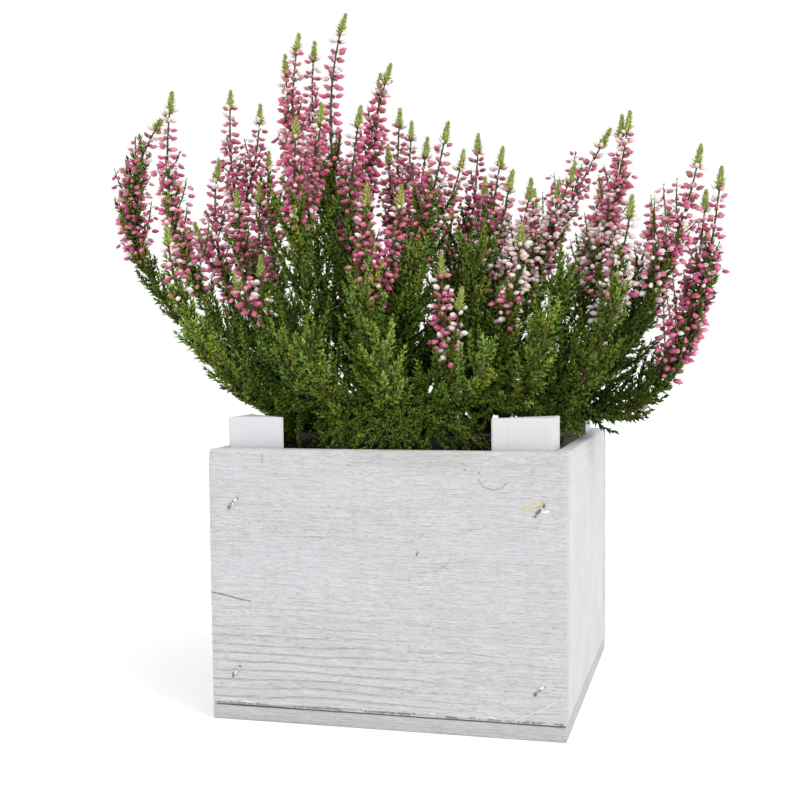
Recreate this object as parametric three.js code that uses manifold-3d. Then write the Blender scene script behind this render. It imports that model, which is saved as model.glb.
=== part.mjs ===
// Potted heather (Calluna) in a plastic nursery pot, standing in a small crate of white-painted boards.
// Millimetres, +Z up. The origin is the centre of the crate's underside, and its front faces -Y.
import * as THREE from 'three';
import { mergeVertices } from 'three/addons/utils/BufferGeometryUtils.js';
import Module from 'manifold-3d';

const wasm = await Module();
wasm.setup();

// ---------------------------------------------------------------- driving dimensions
const crate = { width: 160, depth: 170, height: 122.5, board: 7, base: 6.5, arris: 1.8, corner: 2.5 };
const post = { leg: 26, top: 136, bevel: 0.8 };
const gap = 0.3; // clearance between pieces that touch
const staple = { crown: 7, wire: 1.2, leg: 13, proud: 0.35, turn: 48 };
const staplePlaces = { side: 11.5, high: 98, low: 22 }; // from the crate's side and above its underside
const pot = { rimRadius: 68, mouthRadius: 64.5, footRadius: 49, wall: 1.3, top: 128, sides: 22 };
const potRim = { height: 9, step: 1, wall: 2.1 };
const drain = { count: 4, radius: 4, ring: 34, sides: 8 };
const soil = { top: 118, mound: 2.6, rings: 3, edgeGap: 0.4, lumps: 0.21, crumbs: 0.39, crumbShare: 0.6 };
const stem = { foot: 1.8, top: 1.05, side: 1.25, band: 12.2, tip: 4 };
const rooting = { depth: 14, holeTop: 8, holeSides: 5 }; // how deep a foot stands in its hole in the soil
const leaf = { length: 12, lean: 0.75, radius: 1.2, perBand: 3 };
const sprig = { longest: 28, shortest: 15, radius: 3.4, core: 0.9, lean: 0.8 };
const axis = { radius: 0.95, band: 9.4, overlap: 3 }; // overlap: how far a small spike runs into its stem
const bud = { length: 5.2, radius: 1.75, waist: 0.55, lean: 1.45, taper: 0.3, perBand: 2 };
const bract = { length: 4.6, radius: 1.2, perBand: 1 };
const tuft = { length: 13, radius: 1.9, core: 0.8, bands: 3 };
const whorls = { low: 0.5, neck: 0.44, high: 0.84, highSize: 0.75 }; // heights as shares of the length
const growth = { stray: 0.35, rise: 0.25, leastOpen: 0.3, sizes: [1, 0.8, 0.62] };
const clearShare = { from: 0.3, to: 0.95 }; // the share of a form's length that must be clear of others
const forks = { first: 0.03, step: 0.03 }; // shares of a branch's first shoot at which the others leave it
const sideSpike = { first: 4, step: 6, elbowShare: 0.45, elbowDrop: 6, spread: 0.35 };
const smallSpike = 30; // a spike shorter than this is one body with its leafy branch
const headroom = { above: 0.8, post: 3, rim: 4 }; // round what holds the plant, seen from the side and above
const capsuleLength = 8; // a stem is kept clear of others in lengths of about this
const samples = 60; // places tried along a curve
const fineness = 0.1; // detail smaller than this is smoothed away where forms are joined

// Each branch roots at its foot [x, y] and forks into shoots. A shoot bends round its elbow [x, y, z] to
// its tip [x, y, z], and carries a flower spike over its last `flowers` millimetres. sides are the tips of
// lesser spikes that fork from the lower part of the same spike. fork is the share of the branch's first
// shoot at which a later shoot leaves it.
const branches = [
  {
    name: 'left',
    foot: [-44, -10],
    shoots: [
      { tip: [-121, -25, 293], elbow: [-140, -30, 192], flowers: 88 },
      { tip: [-113, -52, 226], elbow: [-112, -52, 160], flowers: 24 },
      { tip: [-91, -78, 176], elbow: [-84, -68, 150], flowers: 0 },
    ],
  },
  {
    name: 'far_left',
    foot: [-38, 8],
    shoots: [
      { tip: [-134, -5, 287], elbow: [-206, -5, 200], flowers: 70 },
      { tip: [-113, 12, 265], elbow: [-130, 12, 186], flowers: 52, sides: [[-125, 6, 233]] },
    ],
  },
  {
    name: 'left_back',
    foot: [-40, 26],
    shoots: [
      { tip: [-120, 46, 308], elbow: [-128, 42, 190], flowers: 62, sides: [[-106, 54, 301]] },
      { tip: [-113, 84, 281], elbow: [-119, 78, 184], flowers: 42 },
      { tip: [-132, 58, 214], elbow: [-126, 52, 150], flowers: 26 },
    ],
  },
  {
    name: 'inner_left',
    foot: [-28, -18],
    shoots: [
      { tip: [-93, -14, 246], elbow: [-96, -16, 184], flowers: 46, sides: [[-88, 4, 251]] },
      { tip: [-69, -44, 211], elbow: [-72, -46, 152], flowers: 20, sides: [[-77, -58, 203]] },
      { tip: [-54, -34, 276], elbow: [-60, -36, 190], flowers: 42, sides: [[-46, -20, 284]] },
      { tip: [-52, -66, 172], elbow: [-48, -60, 140], flowers: 0 },
    ],
  },
  {
    name: 'middle',
    foot: [-10, 4],
    shoots: [
      { tip: [-64, 0, 323], elbow: [-84, 0, 212], flowers: 76, sides: [[-72, 1, 313]] },
      { tip: [-43, 12, 334], elbow: [-69, 12, 267], flowers: 66 },
      { tip: [-28, -14, 283], elbow: [-46, -12, 196], flowers: 58 },
      { tip: [14, -10, 274], elbow: [-5, -10, 190], flowers: 54 },
      { tip: [-22, 20, 310], elbow: [-54, 20, 222], flowers: 66, sides: [[-29, 24, 306]] },
      { tip: [-4, 22, 273], elbow: [-16, 24, 186], flowers: 50, sides: [[13, 30, 267]] },
      { tip: [2, -36, 210], elbow: [0, -32, 160], flowers: 0 },
    ],
  },
  {
    name: 'back',
    foot: [4, 33],
    shoots: [
      { tip: [-68, 36, 328], elbow: [-82, 36, 214], flowers: 70 },
      { tip: [-57, 92, 256], elbow: [-58, 84, 170], flowers: 48 },
      { tip: [-30, 66, 297], elbow: [-36, 62, 198], flowers: 64, sides: [[-31, 44, 274], [-24, 68, 290]] },
      { tip: [17, 47, 278], elbow: [15, 44, 186], flowers: 56 },
      { tip: [-8, 96, 250], elbow: [-8, 86, 168], flowers: 46 },
      { tip: [40, 90, 254], elbow: [38, 80, 170], flowers: 46 },
    ],
  },
  {
    name: 'front',
    foot: [4, -30],
    shoots: [
      { tip: [-16, -46, 242], elbow: [-22, -48, 168], flowers: 46, sides: [[-2, -38, 241]] },
      { tip: [32, -66, 193], elbow: [26, -68, 140], flowers: 26, sides: [[20, -54, 208]] },
      { tip: [-34, -80, 172], elbow: [-34, -76, 134], flowers: 0 },
      { tip: [2, -86, 168], elbow: [2, -80, 132], flowers: 0 },
      { tip: [-13, -66, 194], elbow: [-14, -62, 146], flowers: 0 },
      { tip: [44, -76, 164], elbow: [38, -72, 134], flowers: 0 },
    ],
  },
  {
    name: 'inner_right',
    foot: [24, 1],
    shoots: [
      { tip: [44, -4, 251], elbow: [28, -6, 182], flowers: 52, sides: [[54, -13, 245]] },
      { tip: [36, 14, 265], elbow: [20, 16, 182], flowers: 54, sides: [[25, 24, 252]] },
      { tip: [54, -40, 222], elbow: [48, -42, 154], flowers: 38 },
      { tip: [70, -70, 180], elbow: [64, -64, 136], flowers: 0 },
      { tip: [88, 20, 272], elbow: [50, 20, 206], flowers: 74 },
      { tip: [73, 2, 254], elbow: [52, 0, 192], flowers: 62, sides: [[65, 0, 245]] },
      { tip: [78, 74, 256], elbow: [70, 66, 172], flowers: 50 },
      { tip: [30, -28, 212], elbow: [26, -26, 160], flowers: 0 },
      { tip: [72, -34, 200], elbow: [62, -30, 150], flowers: 0 },
    ],
  },
  {
    name: 'right',
    foot: [43, -9],
    shoots: [
      { tip: [98, 5, 277], elbow: [84, 4, 172], flowers: 76, sides: [[94, 8, 276]] },
      { tip: [101, -20, 235], elbow: [94, -22, 164], flowers: 48, sides: [[110, -8, 228]] },
      { tip: [98, -50, 194], elbow: [88, -50, 142], flowers: 0 },
    ],
  },
  {
    name: 'far_right',
    foot: [46, 12],
    shoots: [
      { tip: [131, -14, 257], elbow: [119, -12, 178], flowers: 62 },
      { fork: 0.18, tip: [140, 2, 249], elbow: [128, 0, 108], flowers: 90, sides: [[133, 12, 240]] },
      { fork: 0.13, tip: [121, 28, 180], elbow: [112, 30, 136], flowers: 22 },
      { tip: [114, 58, 238], elbow: [108, 52, 156], flowers: 46 },
    ],
  },
];

// ---------------------------------------------------------------- materials
const paint = new THREE.MeshStandardMaterial({ color: 0xe9e8ea, roughness: 0.75, metalness: 0 });
const steel = new THREE.MeshStandardMaterial({ color: 0xa9a6a0, roughness: 0.45, metalness: 0.9 });
const plastic = new THREE.MeshStandardMaterial({ color: 0x1b1a19, roughness: 0.5, metalness: 0 });
const peat = new THREE.MeshStandardMaterial({ color: 0x2a1f17, roughness: 1, metalness: 0 });
const foliage = new THREE.MeshStandardMaterial({ color: 0x4c6b2f, roughness: 0.7, metalness: 0 });
const petals = new THREE.MeshStandardMaterial({ color: 0xc4517c, roughness: 0.6, metalness: 0 });

const object = new THREE.Group();

function addPiece(name, material, geometry, parent = object) {
  const mesh = new THREE.Mesh(geometry, material);
  mesh.name = name;
  parent.add(mesh);
  return mesh;
}

// ---------------------------------------------------------------- solids
function seededRandom(seed) {
  let state = seed >>> 0;
  return () => {
    state = (state + 0x6d2b79f5) >>> 0;
    let mixed = Math.imul(state ^ (state >>> 15), state | 1);
    mixed ^= mixed + Math.imul(mixed ^ (mixed >>> 7), mixed | 61);
    return ((mixed ^ (mixed >>> 14)) >>> 0) / 4294967296;
  };
}

// A closed three.js geometry as a manifold solid: shared vertices merged, collapsed triangles dropped.
function solidOf(geometry) {
  geometry.deleteAttribute('normal');
  geometry.deleteAttribute('uv');
  const merged = mergeVertices(geometry, 1e-4);
  const corners = merged.index.array;
  const kept = [];
  for (let i = 0; i < corners.length; i += 3) {
    const [a, b, c] = [corners[i], corners[i + 1], corners[i + 2]];
    if (a !== b && b !== c && c !== a) kept.push(a, b, c);
  }
  const vertProperties = new Float32Array(merged.attributes.position.array);
  return new wasm.Manifold(new wasm.Mesh({ numProp: 3, vertProperties, triVerts: new Uint32Array(kept) }));
}

function geometryOf(solid) {
  const mesh = solid.getMesh();
  const geometry = new THREE.BufferGeometry();
  geometry.setAttribute('position', new THREE.BufferAttribute(new Float32Array(mesh.vertProperties), 3));
  geometry.setIndex(new THREE.BufferAttribute(new Uint32Array(mesh.triVerts), 1));
  geometry.computeVertexNormals();
  return geometry;
}

// Joins the solids of one node, and keeps its one connected body.
function fused(solids) {
  const bodies = wasm.Manifold.union(solids).simplify(fineness).decompose();
  return bodies.sort((a, b) => b.volume() - a.volume())[0];
}

// A lathed form of few sides that stands on the origin along +Y, from [radius, height] points.
function lathe(points, sides) {
  return new THREE.LatheGeometry(points.map(([r, h]) => new THREE.Vector2(r, h)), sides);
}

// The directions at one place of a curve: along it, across its own plane, and out within that plane.
function frameAt(curve, at) {
  const bent = curve.v1.clone().sub(curve.v0).cross(curve.v2.clone().sub(curve.v1));
  if (bent.length() < 1e-3) bent.set(1, 0, 0).cross(curve.v2.clone().sub(curve.v0));
  const tangent = curve.getTangentAt(at);
  const across = bent.normalize();
  return { tangent, across, out: new THREE.Vector3().crossVectors(tangent, across) };
}

// Bends a form that stands along +Y so that its height runs along the curve, from `start` millimetres on.
function bentAlong(geometry, curve, start = 0) {
  const length = curve.getLength();
  const position = geometry.attributes.position;
  for (let i = 0; i < position.count; i++) {
    const along = (position.getY(i) + start) / length;
    const at = THREE.MathUtils.clamp(along, 0, 1);
    const { tangent, across, out } = frameAt(curve, at);
    const place = curve.getPointAt(at).addScaledVector(tangent, (along - at) * length);
    place.addScaledVector(across, position.getX(i)).addScaledVector(out, -position.getZ(i));
    position.setXYZ(i, place.x, place.y, place.z);
  }
  return geometry;
}

// ---------------------------------------------------------------- crate
// A board with rounded arrises: its cross-section [across, up] is extruded along its length.
function boardGeometry(width, height, length, topRadius) {
  const outline = new THREE.Shape();
  outline.moveTo(0, 0);
  outline.lineTo(width, 0);
  outline.lineTo(width, height - topRadius);
  outline.absarc(width - topRadius, height - topRadius, topRadius, 0, Math.PI / 2, false);
  outline.absarc(topRadius, height - topRadius, topRadius, Math.PI / 2, Math.PI, false);
  outline.lineTo(0, 0);
  return new THREE.ExtrudeGeometry(outline, { depth: length, bevelEnabled: false, curveSegments: 2 });
}

// Turns an extrusion of an upright section so that it runs along +X from x0, with its section from y0 and z0.
function runAlongX(geometry, x0, y0, z0) {
  const place = new THREE.Matrix4().makeBasis(
    new THREE.Vector3(0, 1, 0),
    new THREE.Vector3(0, 0, 1),
    new THREE.Vector3(1, 0, 0),
  );
  return geometry.applyMatrix4(place).translate(x0, y0, z0);
}

// The same along -Y from y0, so that the section's first axis still points to +X.
function runAlongY(geometry, x0, y0, z0) {
  const place = new THREE.Matrix4().makeBasis(
    new THREE.Vector3(1, 0, 0),
    new THREE.Vector3(0, 0, 1),
    new THREE.Vector3(0, -1, 0),
  );
  return geometry.applyMatrix4(place).translate(x0, y0, z0);
}

const half = { x: crate.width / 2, y: crate.depth / 2 };
const wallBottom = crate.base + gap;
const wallHeight = crate.height - wallBottom;

function stapleFrames() {
  const frames = [];
  for (const [end, facing] of [['front', -1], ['back', 1]]) {
    for (const [side, x] of [['left', -1], ['right', 1]]) {
      for (const [level, z] of [['high', staplePlaces.high], ['low', staplePlaces.low]]) {
        const middle = new THREE.Vector3(x * (half.x - staplePlaces.side), facing * half.y, z);
        const turn = THREE.MathUtils.degToRad(staple.turn);
        const along = new THREE.Vector3(Math.cos(turn) * -facing, 0, Math.sin(turn));
        const inward = new THREE.Vector3(0, -facing, 0);
        frames.push({ name: `staple_${end}_${side}_${level}`, end, side, middle, along, inward });
      }
    }
  }
  return frames;
}

function placedByStaple(geometry, frame) {
  const third = new THREE.Vector3().crossVectors(frame.along, frame.inward);
  const place = new THREE.Matrix4().makeBasis(frame.along, frame.inward, third);
  return geometry.applyMatrix4(place.setPosition(frame.middle));
}

function stapleGeometry(frame) {
  const reach = staple.crown / 2;
  const outline = new THREE.Shape();
  outline.moveTo(-reach, -staple.proud);
  outline.lineTo(reach, -staple.proud);
  outline.lineTo(reach, staple.leg);
  outline.lineTo(reach - staple.wire, staple.leg);
  outline.lineTo(reach - staple.wire, staple.wire - staple.proud);
  outline.lineTo(staple.wire - reach, staple.wire - staple.proud);
  outline.lineTo(staple.wire - reach, staple.leg);
  outline.lineTo(-reach, staple.leg);
  const geometry = new THREE.ExtrudeGeometry(outline, { depth: staple.wire, bevelEnabled: false });
  return placedByStaple(geometry.translate(0, 0, -staple.wire / 2), frame);
}

// The slot that one staple's legs and crown stand in, through the board and into the post.
function stapleSlot(frame) {
  const slot = new THREE.BoxGeometry(staple.crown + 2 * gap, staple.leg + gap + 2, staple.wire + 2 * gap);
  return solidOf(placedByStaple(slot.translate(0, (staple.leg + gap - 2) / 2, 0), frame));
}

function makeCrate() {
  const staples = stapleFrames();

  const footprint = new THREE.Shape();
  const r = crate.corner;
  footprint.moveTo(-half.x + r, -half.y);
  for (const [x, y, from] of [[1, -1, -90], [1, 1, 0], [-1, 1, 90], [-1, -1, 180]]) {
    const start = THREE.MathUtils.degToRad(from);
    footprint.absarc(x * (half.x - r), y * (half.y - r), r, start, start + Math.PI / 2, false);
  }
  const baseSettings = { depth: crate.base, bevelEnabled: false, curveSegments: 3 };
  addPiece('base_board', paint, new THREE.ExtrudeGeometry(footprint, baseSettings));

  for (const [end, y0] of [['front', -half.y], ['back', half.y - crate.board]]) {
    const board = boardGeometry(crate.board, wallHeight, crate.width, crate.arris);
    let body = solidOf(runAlongX(board, -half.x, y0, wallBottom));
    for (const frame of staples.filter((s) => s.end === end)) body = body.subtract(stapleSlot(frame));
    addPiece(`${end}_board`, paint, geometryOf(body));
  }

  const sideLength = crate.depth - 2 * crate.board - 2 * gap;
  for (const [side, x0] of [['left', -half.x], ['right', half.x - crate.board]]) {
    const board = boardGeometry(crate.board, wallHeight, sideLength, crate.arris);
    addPiece(`${side}_board`, paint, geometryOf(solidOf(runAlongY(board, x0, sideLength / 2, wallBottom))));
  }

  for (const [end, y] of [['front', -1], ['back', 1]]) {
    for (const [side, x] of [['left', -1], ['right', 1]]) {
      const corner = [x * (half.x - crate.board - gap), y * (half.y - crate.board - gap)];
      const section = new THREE.Shape();
      const points = [
        [corner[0], corner[1]],
        [corner[0] - x * post.leg, corner[1]],
        [corner[0] - x * post.leg, corner[1] - y * post.bevel],
        [corner[0] - x * post.bevel, corner[1] - y * post.leg],
        [corner[0], corner[1] - y * post.leg],
      ];
      section.setFromPoints(points.map((p) => new THREE.Vector2(...p)));
      const settings = { depth: post.top - wallBottom, bevelEnabled: false };
      let body = solidOf(new THREE.ExtrudeGeometry(section, settings).translate(0, 0, wallBottom));
      for (const frame of staples.filter((s) => s.end === end && s.side === side)) {
        body = body.subtract(stapleSlot(frame));
      }
      addPiece(`corner_post_${end}_${side}`, paint, geometryOf(body));
    }
  }

  for (const frame of staples) addPiece(frame.name, steel, stapleGeometry(frame));
}

// ---------------------------------------------------------------- pot and soil
const potFloor = wallBottom;
const rimBottom = pot.top - potRim.height;

// Outer radius of the pot's tapered wall at height z.
function wallRadius(z) {
  return THREE.MathUtils.mapLinear(z, potFloor, rimBottom, pot.footRadius, pot.mouthRadius);
}

function upright(geometry) {
  return geometry.rotateX(Math.PI / 2);
}

function makePot() {
  const innerFloor = potFloor + pot.wall;
  const profile = [
    [0, potFloor],
    [pot.footRadius, potFloor],
    [wallRadius(rimBottom), rimBottom],
    [pot.rimRadius, rimBottom + potRim.step],
    [pot.rimRadius, pot.top],
    [pot.rimRadius - potRim.wall, pot.top],
    [wallRadius(rimBottom) - pot.wall, rimBottom - pot.wall],
    [wallRadius(innerFloor) - pot.wall, innerFloor],
    [0, innerFloor],
  ];
  let body = solidOf(upright(lathe(profile, pot.sides)));
  for (let i = 0; i < drain.count; i++) {
    const turn = ((i + 0.5) / drain.count) * 2 * Math.PI;
    const hole = new THREE.CylinderGeometry(drain.radius, drain.radius, 4 * pot.wall, drain.sides);
    upright(hole).translate(drain.ring * Math.cos(turn), drain.ring * Math.sin(turn), potFloor);
    body = body.subtract(solidOf(hole));
  }
  addPiece('nursery_pot', plastic, geometryOf(body));
}

// Height of the crumbly soil surface at [x, y].
function soilHeight(x, y) {
  const lumps = Math.sin(soil.lumps * x + 1) * Math.cos(soil.lumps * y);
  const crumbs = soil.crumbShare * Math.sin(soil.crumbs * (x - y));
  return soil.top + (soil.mound * (lumps + crumbs)) / 2;
}

function makeSoil(stemHoles) {
  const bottom = potFloor + pot.wall + gap;
  const clear = pot.wall + gap;
  const edge = wallRadius(soil.top) - clear - soil.edgeGap;
  const rings = Array.from({ length: soil.rings }, (_, i) => [(edge * (i + 1)) / soil.rings, soil.top]);
  const profile = [[0, bottom], [wallRadius(bottom) - clear, bottom], ...rings.reverse(), [0, soil.top]];
  const geometry = upright(lathe(profile, pot.sides));
  const position = geometry.attributes.position;
  for (let i = 0; i < position.count; i++) {
    if (position.getZ(i) > soil.top - 1) position.setZ(i, soilHeight(position.getX(i), position.getY(i)));
  }
  let body = solidOf(geometry);
  for (const hole of stemHoles) body = body.subtract(hole);
  addPiece('soil', peat, geometryOf(body));
}

// ---------------------------------------------------------------- keeping nodes clear of each other
// Every stem, sprig and bud is known by capsules: a segment from a to b with a radius, and its node's name.
// They name their stem's curve too, because a spike stands on the end of its own leafy stem, and buds and
// sprigs root in theirs. Forms marked apart stay clear of other stems' forms in their own node as well.
const capsules = [];

function segmentDistance(a0, a1, b0, b1) {
  const u = a1.clone().sub(a0);
  const v = b1.clone().sub(b0);
  const w = a0.clone().sub(b0);
  const [uu, uv, vv, uw, vw] = [u.dot(u), u.dot(v), v.dot(v), u.dot(w), v.dot(w)];
  const det = uu * vv - uv * uv;
  let s = det > 1e-9 ? THREE.MathUtils.clamp((uv * vw - vv * uw) / det, 0, 1) : 0;
  const t = THREE.MathUtils.clamp((uv * s + vw) / vv, 0, 1);
  s = THREE.MathUtils.clamp((uv * t - uw) / uu, 0, 1);
  return w.addScaledVector(u, s).addScaledVector(v, -t).length();
}

function crossing(candidates, node) {
  for (const c of candidates) {
    for (const other of capsules) {
      if (other.node === node && !c.growth) continue;
      if (c.stem && c.stem === other.stem && !(c.growth && other.growth)) continue;
      if (segmentDistance(c.a, c.b, other.a, other.b) < c.r + other.r + gap) return other;
    }
  }
  return null;
}

// Whether a capsule stays above what is below it: the soil, the pot's rim, or the crate's walls and posts.
function clearOfHolder(capsule) {
  const corner = crate.board + post.leg + headroom.post;
  return [capsule.a, capsule.b].every((p) => {
    const overPost = Math.abs(p.x) > half.x - corner && Math.abs(p.y) > half.y - corner;
    const overPot = Math.hypot(p.x, p.y) > pot.mouthRadius - headroom.rim;
    const top = overPost ? post.top : overPot ? pot.top : soil.top + soil.mound;
    return p.z - capsule.r > top + headroom.above;
  });
}

function curveCapsules(curve, from, to, radius, node) {
  const length = curve.getLength();
  const count = Math.max(1, Math.round((to - from) / capsuleLength));
  const places = Array.from({ length: count + 1 }, (_, i) => {
    return curve.getPointAt(THREE.MathUtils.clamp((from + ((to - from) * i) / count) / length, 0, 1));
  });
  return places.slice(1).map((b, i) => ({ a: places[i], b, r: radius, node, stem: curve }));
}

// ---------------------------------------------------------------- heather
const random = seededRandom(20);
const point = (p) => new THREE.Vector3(...p);

// Two whorls of scale leaves that flare up and out from a slim core, as [height, radius].
function leafWhorls(length, radius, core) {
  return [
    [length * whorls.low, radius],
    [length * whorls.neck, core],
    [length * whorls.high, radius * whorls.highSize],
  ];
}

// A three-cornered stem along a curve. Each ring is turned a sixth of a turn from the one below, so that the
// skin is rows of triangles, six to a band, and a form can grow out of any of them and cover it.
class Stem {
  constructor(curve, rings, pointed) {
    this.curve = curve;
    this.length = curve.getLength();
    this.bands = rings.length - 1;
    this.vertices = [];
    this.triangles = [];
    this.cells = [];
    let below = null;
    rings.forEach(([along, radius], i) => {
      const ring = this.ring(along, radius, (i * Math.PI) / 3);
      if (below) this.band(below, ring, i - 1);
      else this.triangles.push([ring[2], ring[1], ring[0]]);
      below = ring;
    });
    if (pointed) this.point(below, curve.getPointAt(1));
    else this.triangles.push(below);
  }

  vertex(place) {
    this.vertices.push(place);
    return this.vertices.length - 1;
  }

  ring(along, radius, turn) {
    const at = THREE.MathUtils.clamp(along / this.length, 0, 1);
    const { tangent, across, out } = frameAt(this.curve, at);
    const middle = this.curve.getPointAt(at).addScaledVector(tangent, along - at * this.length);
    return [0, 1, 2].map((corner) => {
      const angle = turn + (corner * 2 * Math.PI) / 3;
      const place = middle.clone().addScaledVector(across, radius * Math.cos(angle));
      return this.vertex(place.addScaledVector(out, radius * Math.sin(angle)));
    });
  }

  band(low, high, level) {
    for (let j = 0; j < 3; j++) {
      const next = (j + 1) % 3;
      this.cells.push({ level, upper: false, corners: [low[j], low[next], high[j]] });
      this.cells.push({ level, upper: true, corners: [low[next], high[next], high[j]] });
    }
  }

  point(ring, tip) {
    const top = this.vertex(tip);
    for (let j = 0; j < 3; j++) this.triangles.push([ring[j], ring[(j + 1) % 3], top]);
  }

  // Where a form on this cell starts and heads, leaning from the stem's own direction and straying a little.
  heading(cell, lean) {
    const [a, b, c] = cell.corners.map((i) => this.vertices[i]);
    const root = a.clone().add(b).add(c).divideScalar(3);
    const facing = b.clone().sub(a).cross(c.clone().sub(a)).normalize();
    const tangent = this.tangentNear(root);
    const lift = growth.rise * Math.sin(lean) * (1 - Math.abs(tangent.z));
    const stray = new THREE.Vector3(random() - 0.5, random() - 0.5, random() - 0.5);
    const heading = tangent.multiplyScalar(Math.cos(lean)).addScaledVector(facing, Math.sin(lean));
    heading.addScaledVector(stray, growth.stray).z += lift;
    heading.normalize();
    return { root, heading, open: heading.dot(facing) };
  }

  tangentNear(place) {
    const shares = Array.from({ length: samples + 1 }, (_, i) => i / samples);
    const distances = shares.map((share) => this.curve.getPointAt(share).distanceTo(place));
    return this.curve.getTangentAt(shares[distances.indexOf(Math.min(...distances))]);
  }

  // Draws the cell out along the heading through [distance, radius] sections to a point.
  grow(cell, root, heading, sections, length) {
    let ring = cell.corners;
    const spokes = ring.map((i) => {
      const spoke = this.vertices[i].clone().sub(root);
      return spoke.addScaledVector(heading, -spoke.dot(heading)).normalize();
    });
    for (const [distance, radius] of sections) {
      const middle = root.clone().addScaledVector(heading, distance);
      const next = spokes.map((spoke) => this.vertex(middle.clone().addScaledVector(spoke, radius)));
      for (let j = 0; j < 3; j++) {
        const k = (j + 1) % 3;
        this.triangles.push([ring[j], ring[k], next[k]], [ring[j], next[k], next[j]]);
      }
      ring = next;
    }
    this.point(ring, root.clone().addScaledVector(heading, length));
    cell.covered = true;
  }

  solid() {
    const open = this.cells.filter((cell) => !cell.covered).map((cell) => cell.corners);
    const vertProperties = new Float32Array(this.vertices.flatMap((v) => v.toArray()));
    const triVerts = new Uint32Array([...this.triangles, ...open].flat());
    return new wasm.Manifold(new wasm.Mesh({ numProp: 3, vertProperties, triVerts }));
  }
}

function branchCurves() {
  const made = [];
  for (const branch of branches) {
    const foot = new THREE.Vector3(branch.foot[0], branch.foot[1], soil.top);
    let trunk = null;
    branch.shoots.forEach((shoot, i) => {
      const start = trunk ? trunk.getPointAt(shoot.fork ?? forks.first + forks.step * i) : foot;
      const curve = new THREE.QuadraticBezierCurve3(start, point(shoot.elbow), point(shoot.tip));
      if (!trunk) trunk = curve;
      branch.trunk = trunk;
      made.push({ ...shoot, branch, curve, trunk: curve === trunk, index: i });
    });
  }
  return made;
}

const shoots = branchCurves();
const nodes = new Map();

function nodeStems(name, material) {
  if (!nodes.has(name)) nodes.set(name, { material, forms: [] });
  return nodes.get(name).forms;
}

// Stems first: the woody stem of each shoot, and the axis of each spike with its leafy tuft.
const stems = [];
let spikeNumber = 0;

function levels(from, to, spacing) {
  const count = Math.max(1, Math.round((to - from) / spacing));
  return Array.from({ length: count + 1 }, (_, i) => from + ((to - from) * i) / count);
}

function addStem(kind, node, material, form, radius, start, end, bareBands = 0) {
  stems.push({ kind, node, form, bareBands });
  nodeStems(node, material).push(form);
  capsules.push(...curveCapsules(form.curve, Math.max(start, 0), end - radius, radius, node));
}

// How far along a forking curve it is before it stands clear of the trunk.
function clearOfTrunk(curve, trunk, distance) {
  const length = curve.getLength();
  const trunkPoints = trunk.getSpacedPoints(2 * samples);
  for (let i = 1; i < samples; i++) {
    const place = curve.getPointAt(i / samples);
    if (trunkPoints.every((p) => p.distanceTo(place) > distance)) return (length * i) / samples;
  }
  throw new Error('a shoot never leaves its trunk');
}

function woodyStem(shoot, node) {
  const from = shoot.trunk ? -rooting.depth : 0;
  shoot.leafEnd = shoot.curve.getLength() - (shoot.flowers > 0 ? shoot.flowers + tuft.length : stem.tip);
  const thick = shoot.trunk ? stem.foot : stem.side;
  const bare = shoot.trunk ? [[from, thick]] : [];
  const clear = shoot.trunk ? 0 : clearOfTrunk(shoot.curve, shoot.branch.trunk, 2 * stem.foot);
  const alongs = levels(clear, shoot.leafEnd, stem.band);
  if (clear > 0) alongs.unshift(0);
  const rings = alongs.map((along) => [along, THREE.MathUtils.lerp(thick, stem.top, along / shoot.leafEnd)]);
  const form = new Stem(shoot.curve, [...bare, ...rings], shoot.flowers === 0);
  addStem('leafy', node, foliage, form, thick, from, shoot.leafEnd, shoot.trunk ? 2 : 1);
}

function addSpike(curve, from, node, material, rooted) {
  const start = rooted ? from : from + gap;
  const budEnd = curve.getLength() - tuft.length;
  const rings = levels(start, budEnd, axis.band).map((along) => [along, axis.radius]);
  const tuftRings = leafWhorls(tuft.length, tuft.radius, tuft.core);
  rings.push(...tuftRings.map(([height, radius]) => [budEnd + height, radius]));
  addStem('spike', node, material, new Stem(curve, rings, true), tuft.radius, start, curve.getLength());
}

for (const shoot of shoots) {
  const node = `leafy_branch_${shoot.branch.name}`;
  woodyStem(shoot, node);
  if (shoot.flowers === 0) continue;
  const small = shoot.flowers < smallSpike;
  if (!small) spikeNumber += 1;
  const spikeNode = small ? node : `flower_spike_${String(spikeNumber).padStart(2, '0')}`;
  const colour = small ? foliage : petals;
  addSpike(shoot.curve, small ? shoot.leafEnd - axis.overlap : shoot.leafEnd, spikeNode, colour, small);
  for (const [k, tip] of (shoot.sides ?? []).entries()) {
    const rootAt = (shoot.leafEnd + sideSpike.first + sideSpike.step * k) / shoot.curve.getLength();
    const root = shoot.curve.getPointAt(rootAt);
    const end = point(tip);
    const elbow = root.clone().lerp(end, sideSpike.elbowShare);
    elbow.x += sideSpike.spread * (end.x - root.x);
    elbow.y += sideSpike.spread * (end.y - root.y);
    elbow.z -= sideSpike.elbowDrop;
    addSpike(new THREE.QuadraticBezierCurve3(root, elbow, end), 0, spikeNode, colour, true);
  }
}

// Stems of different nodes must not touch each other, nor what holds the plant.
for (const capsule of capsules) {
  const blocked = capsule.a.z > soil.top + stem.band && !clearOfHolder(capsule);
  if (blocked || crossing([capsule], capsule.node)) {
    throw new Error(`a stem of ${capsule.node} is in the way near ${capsule.a.toArray().map(Math.round)}`);
  }
}

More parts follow.
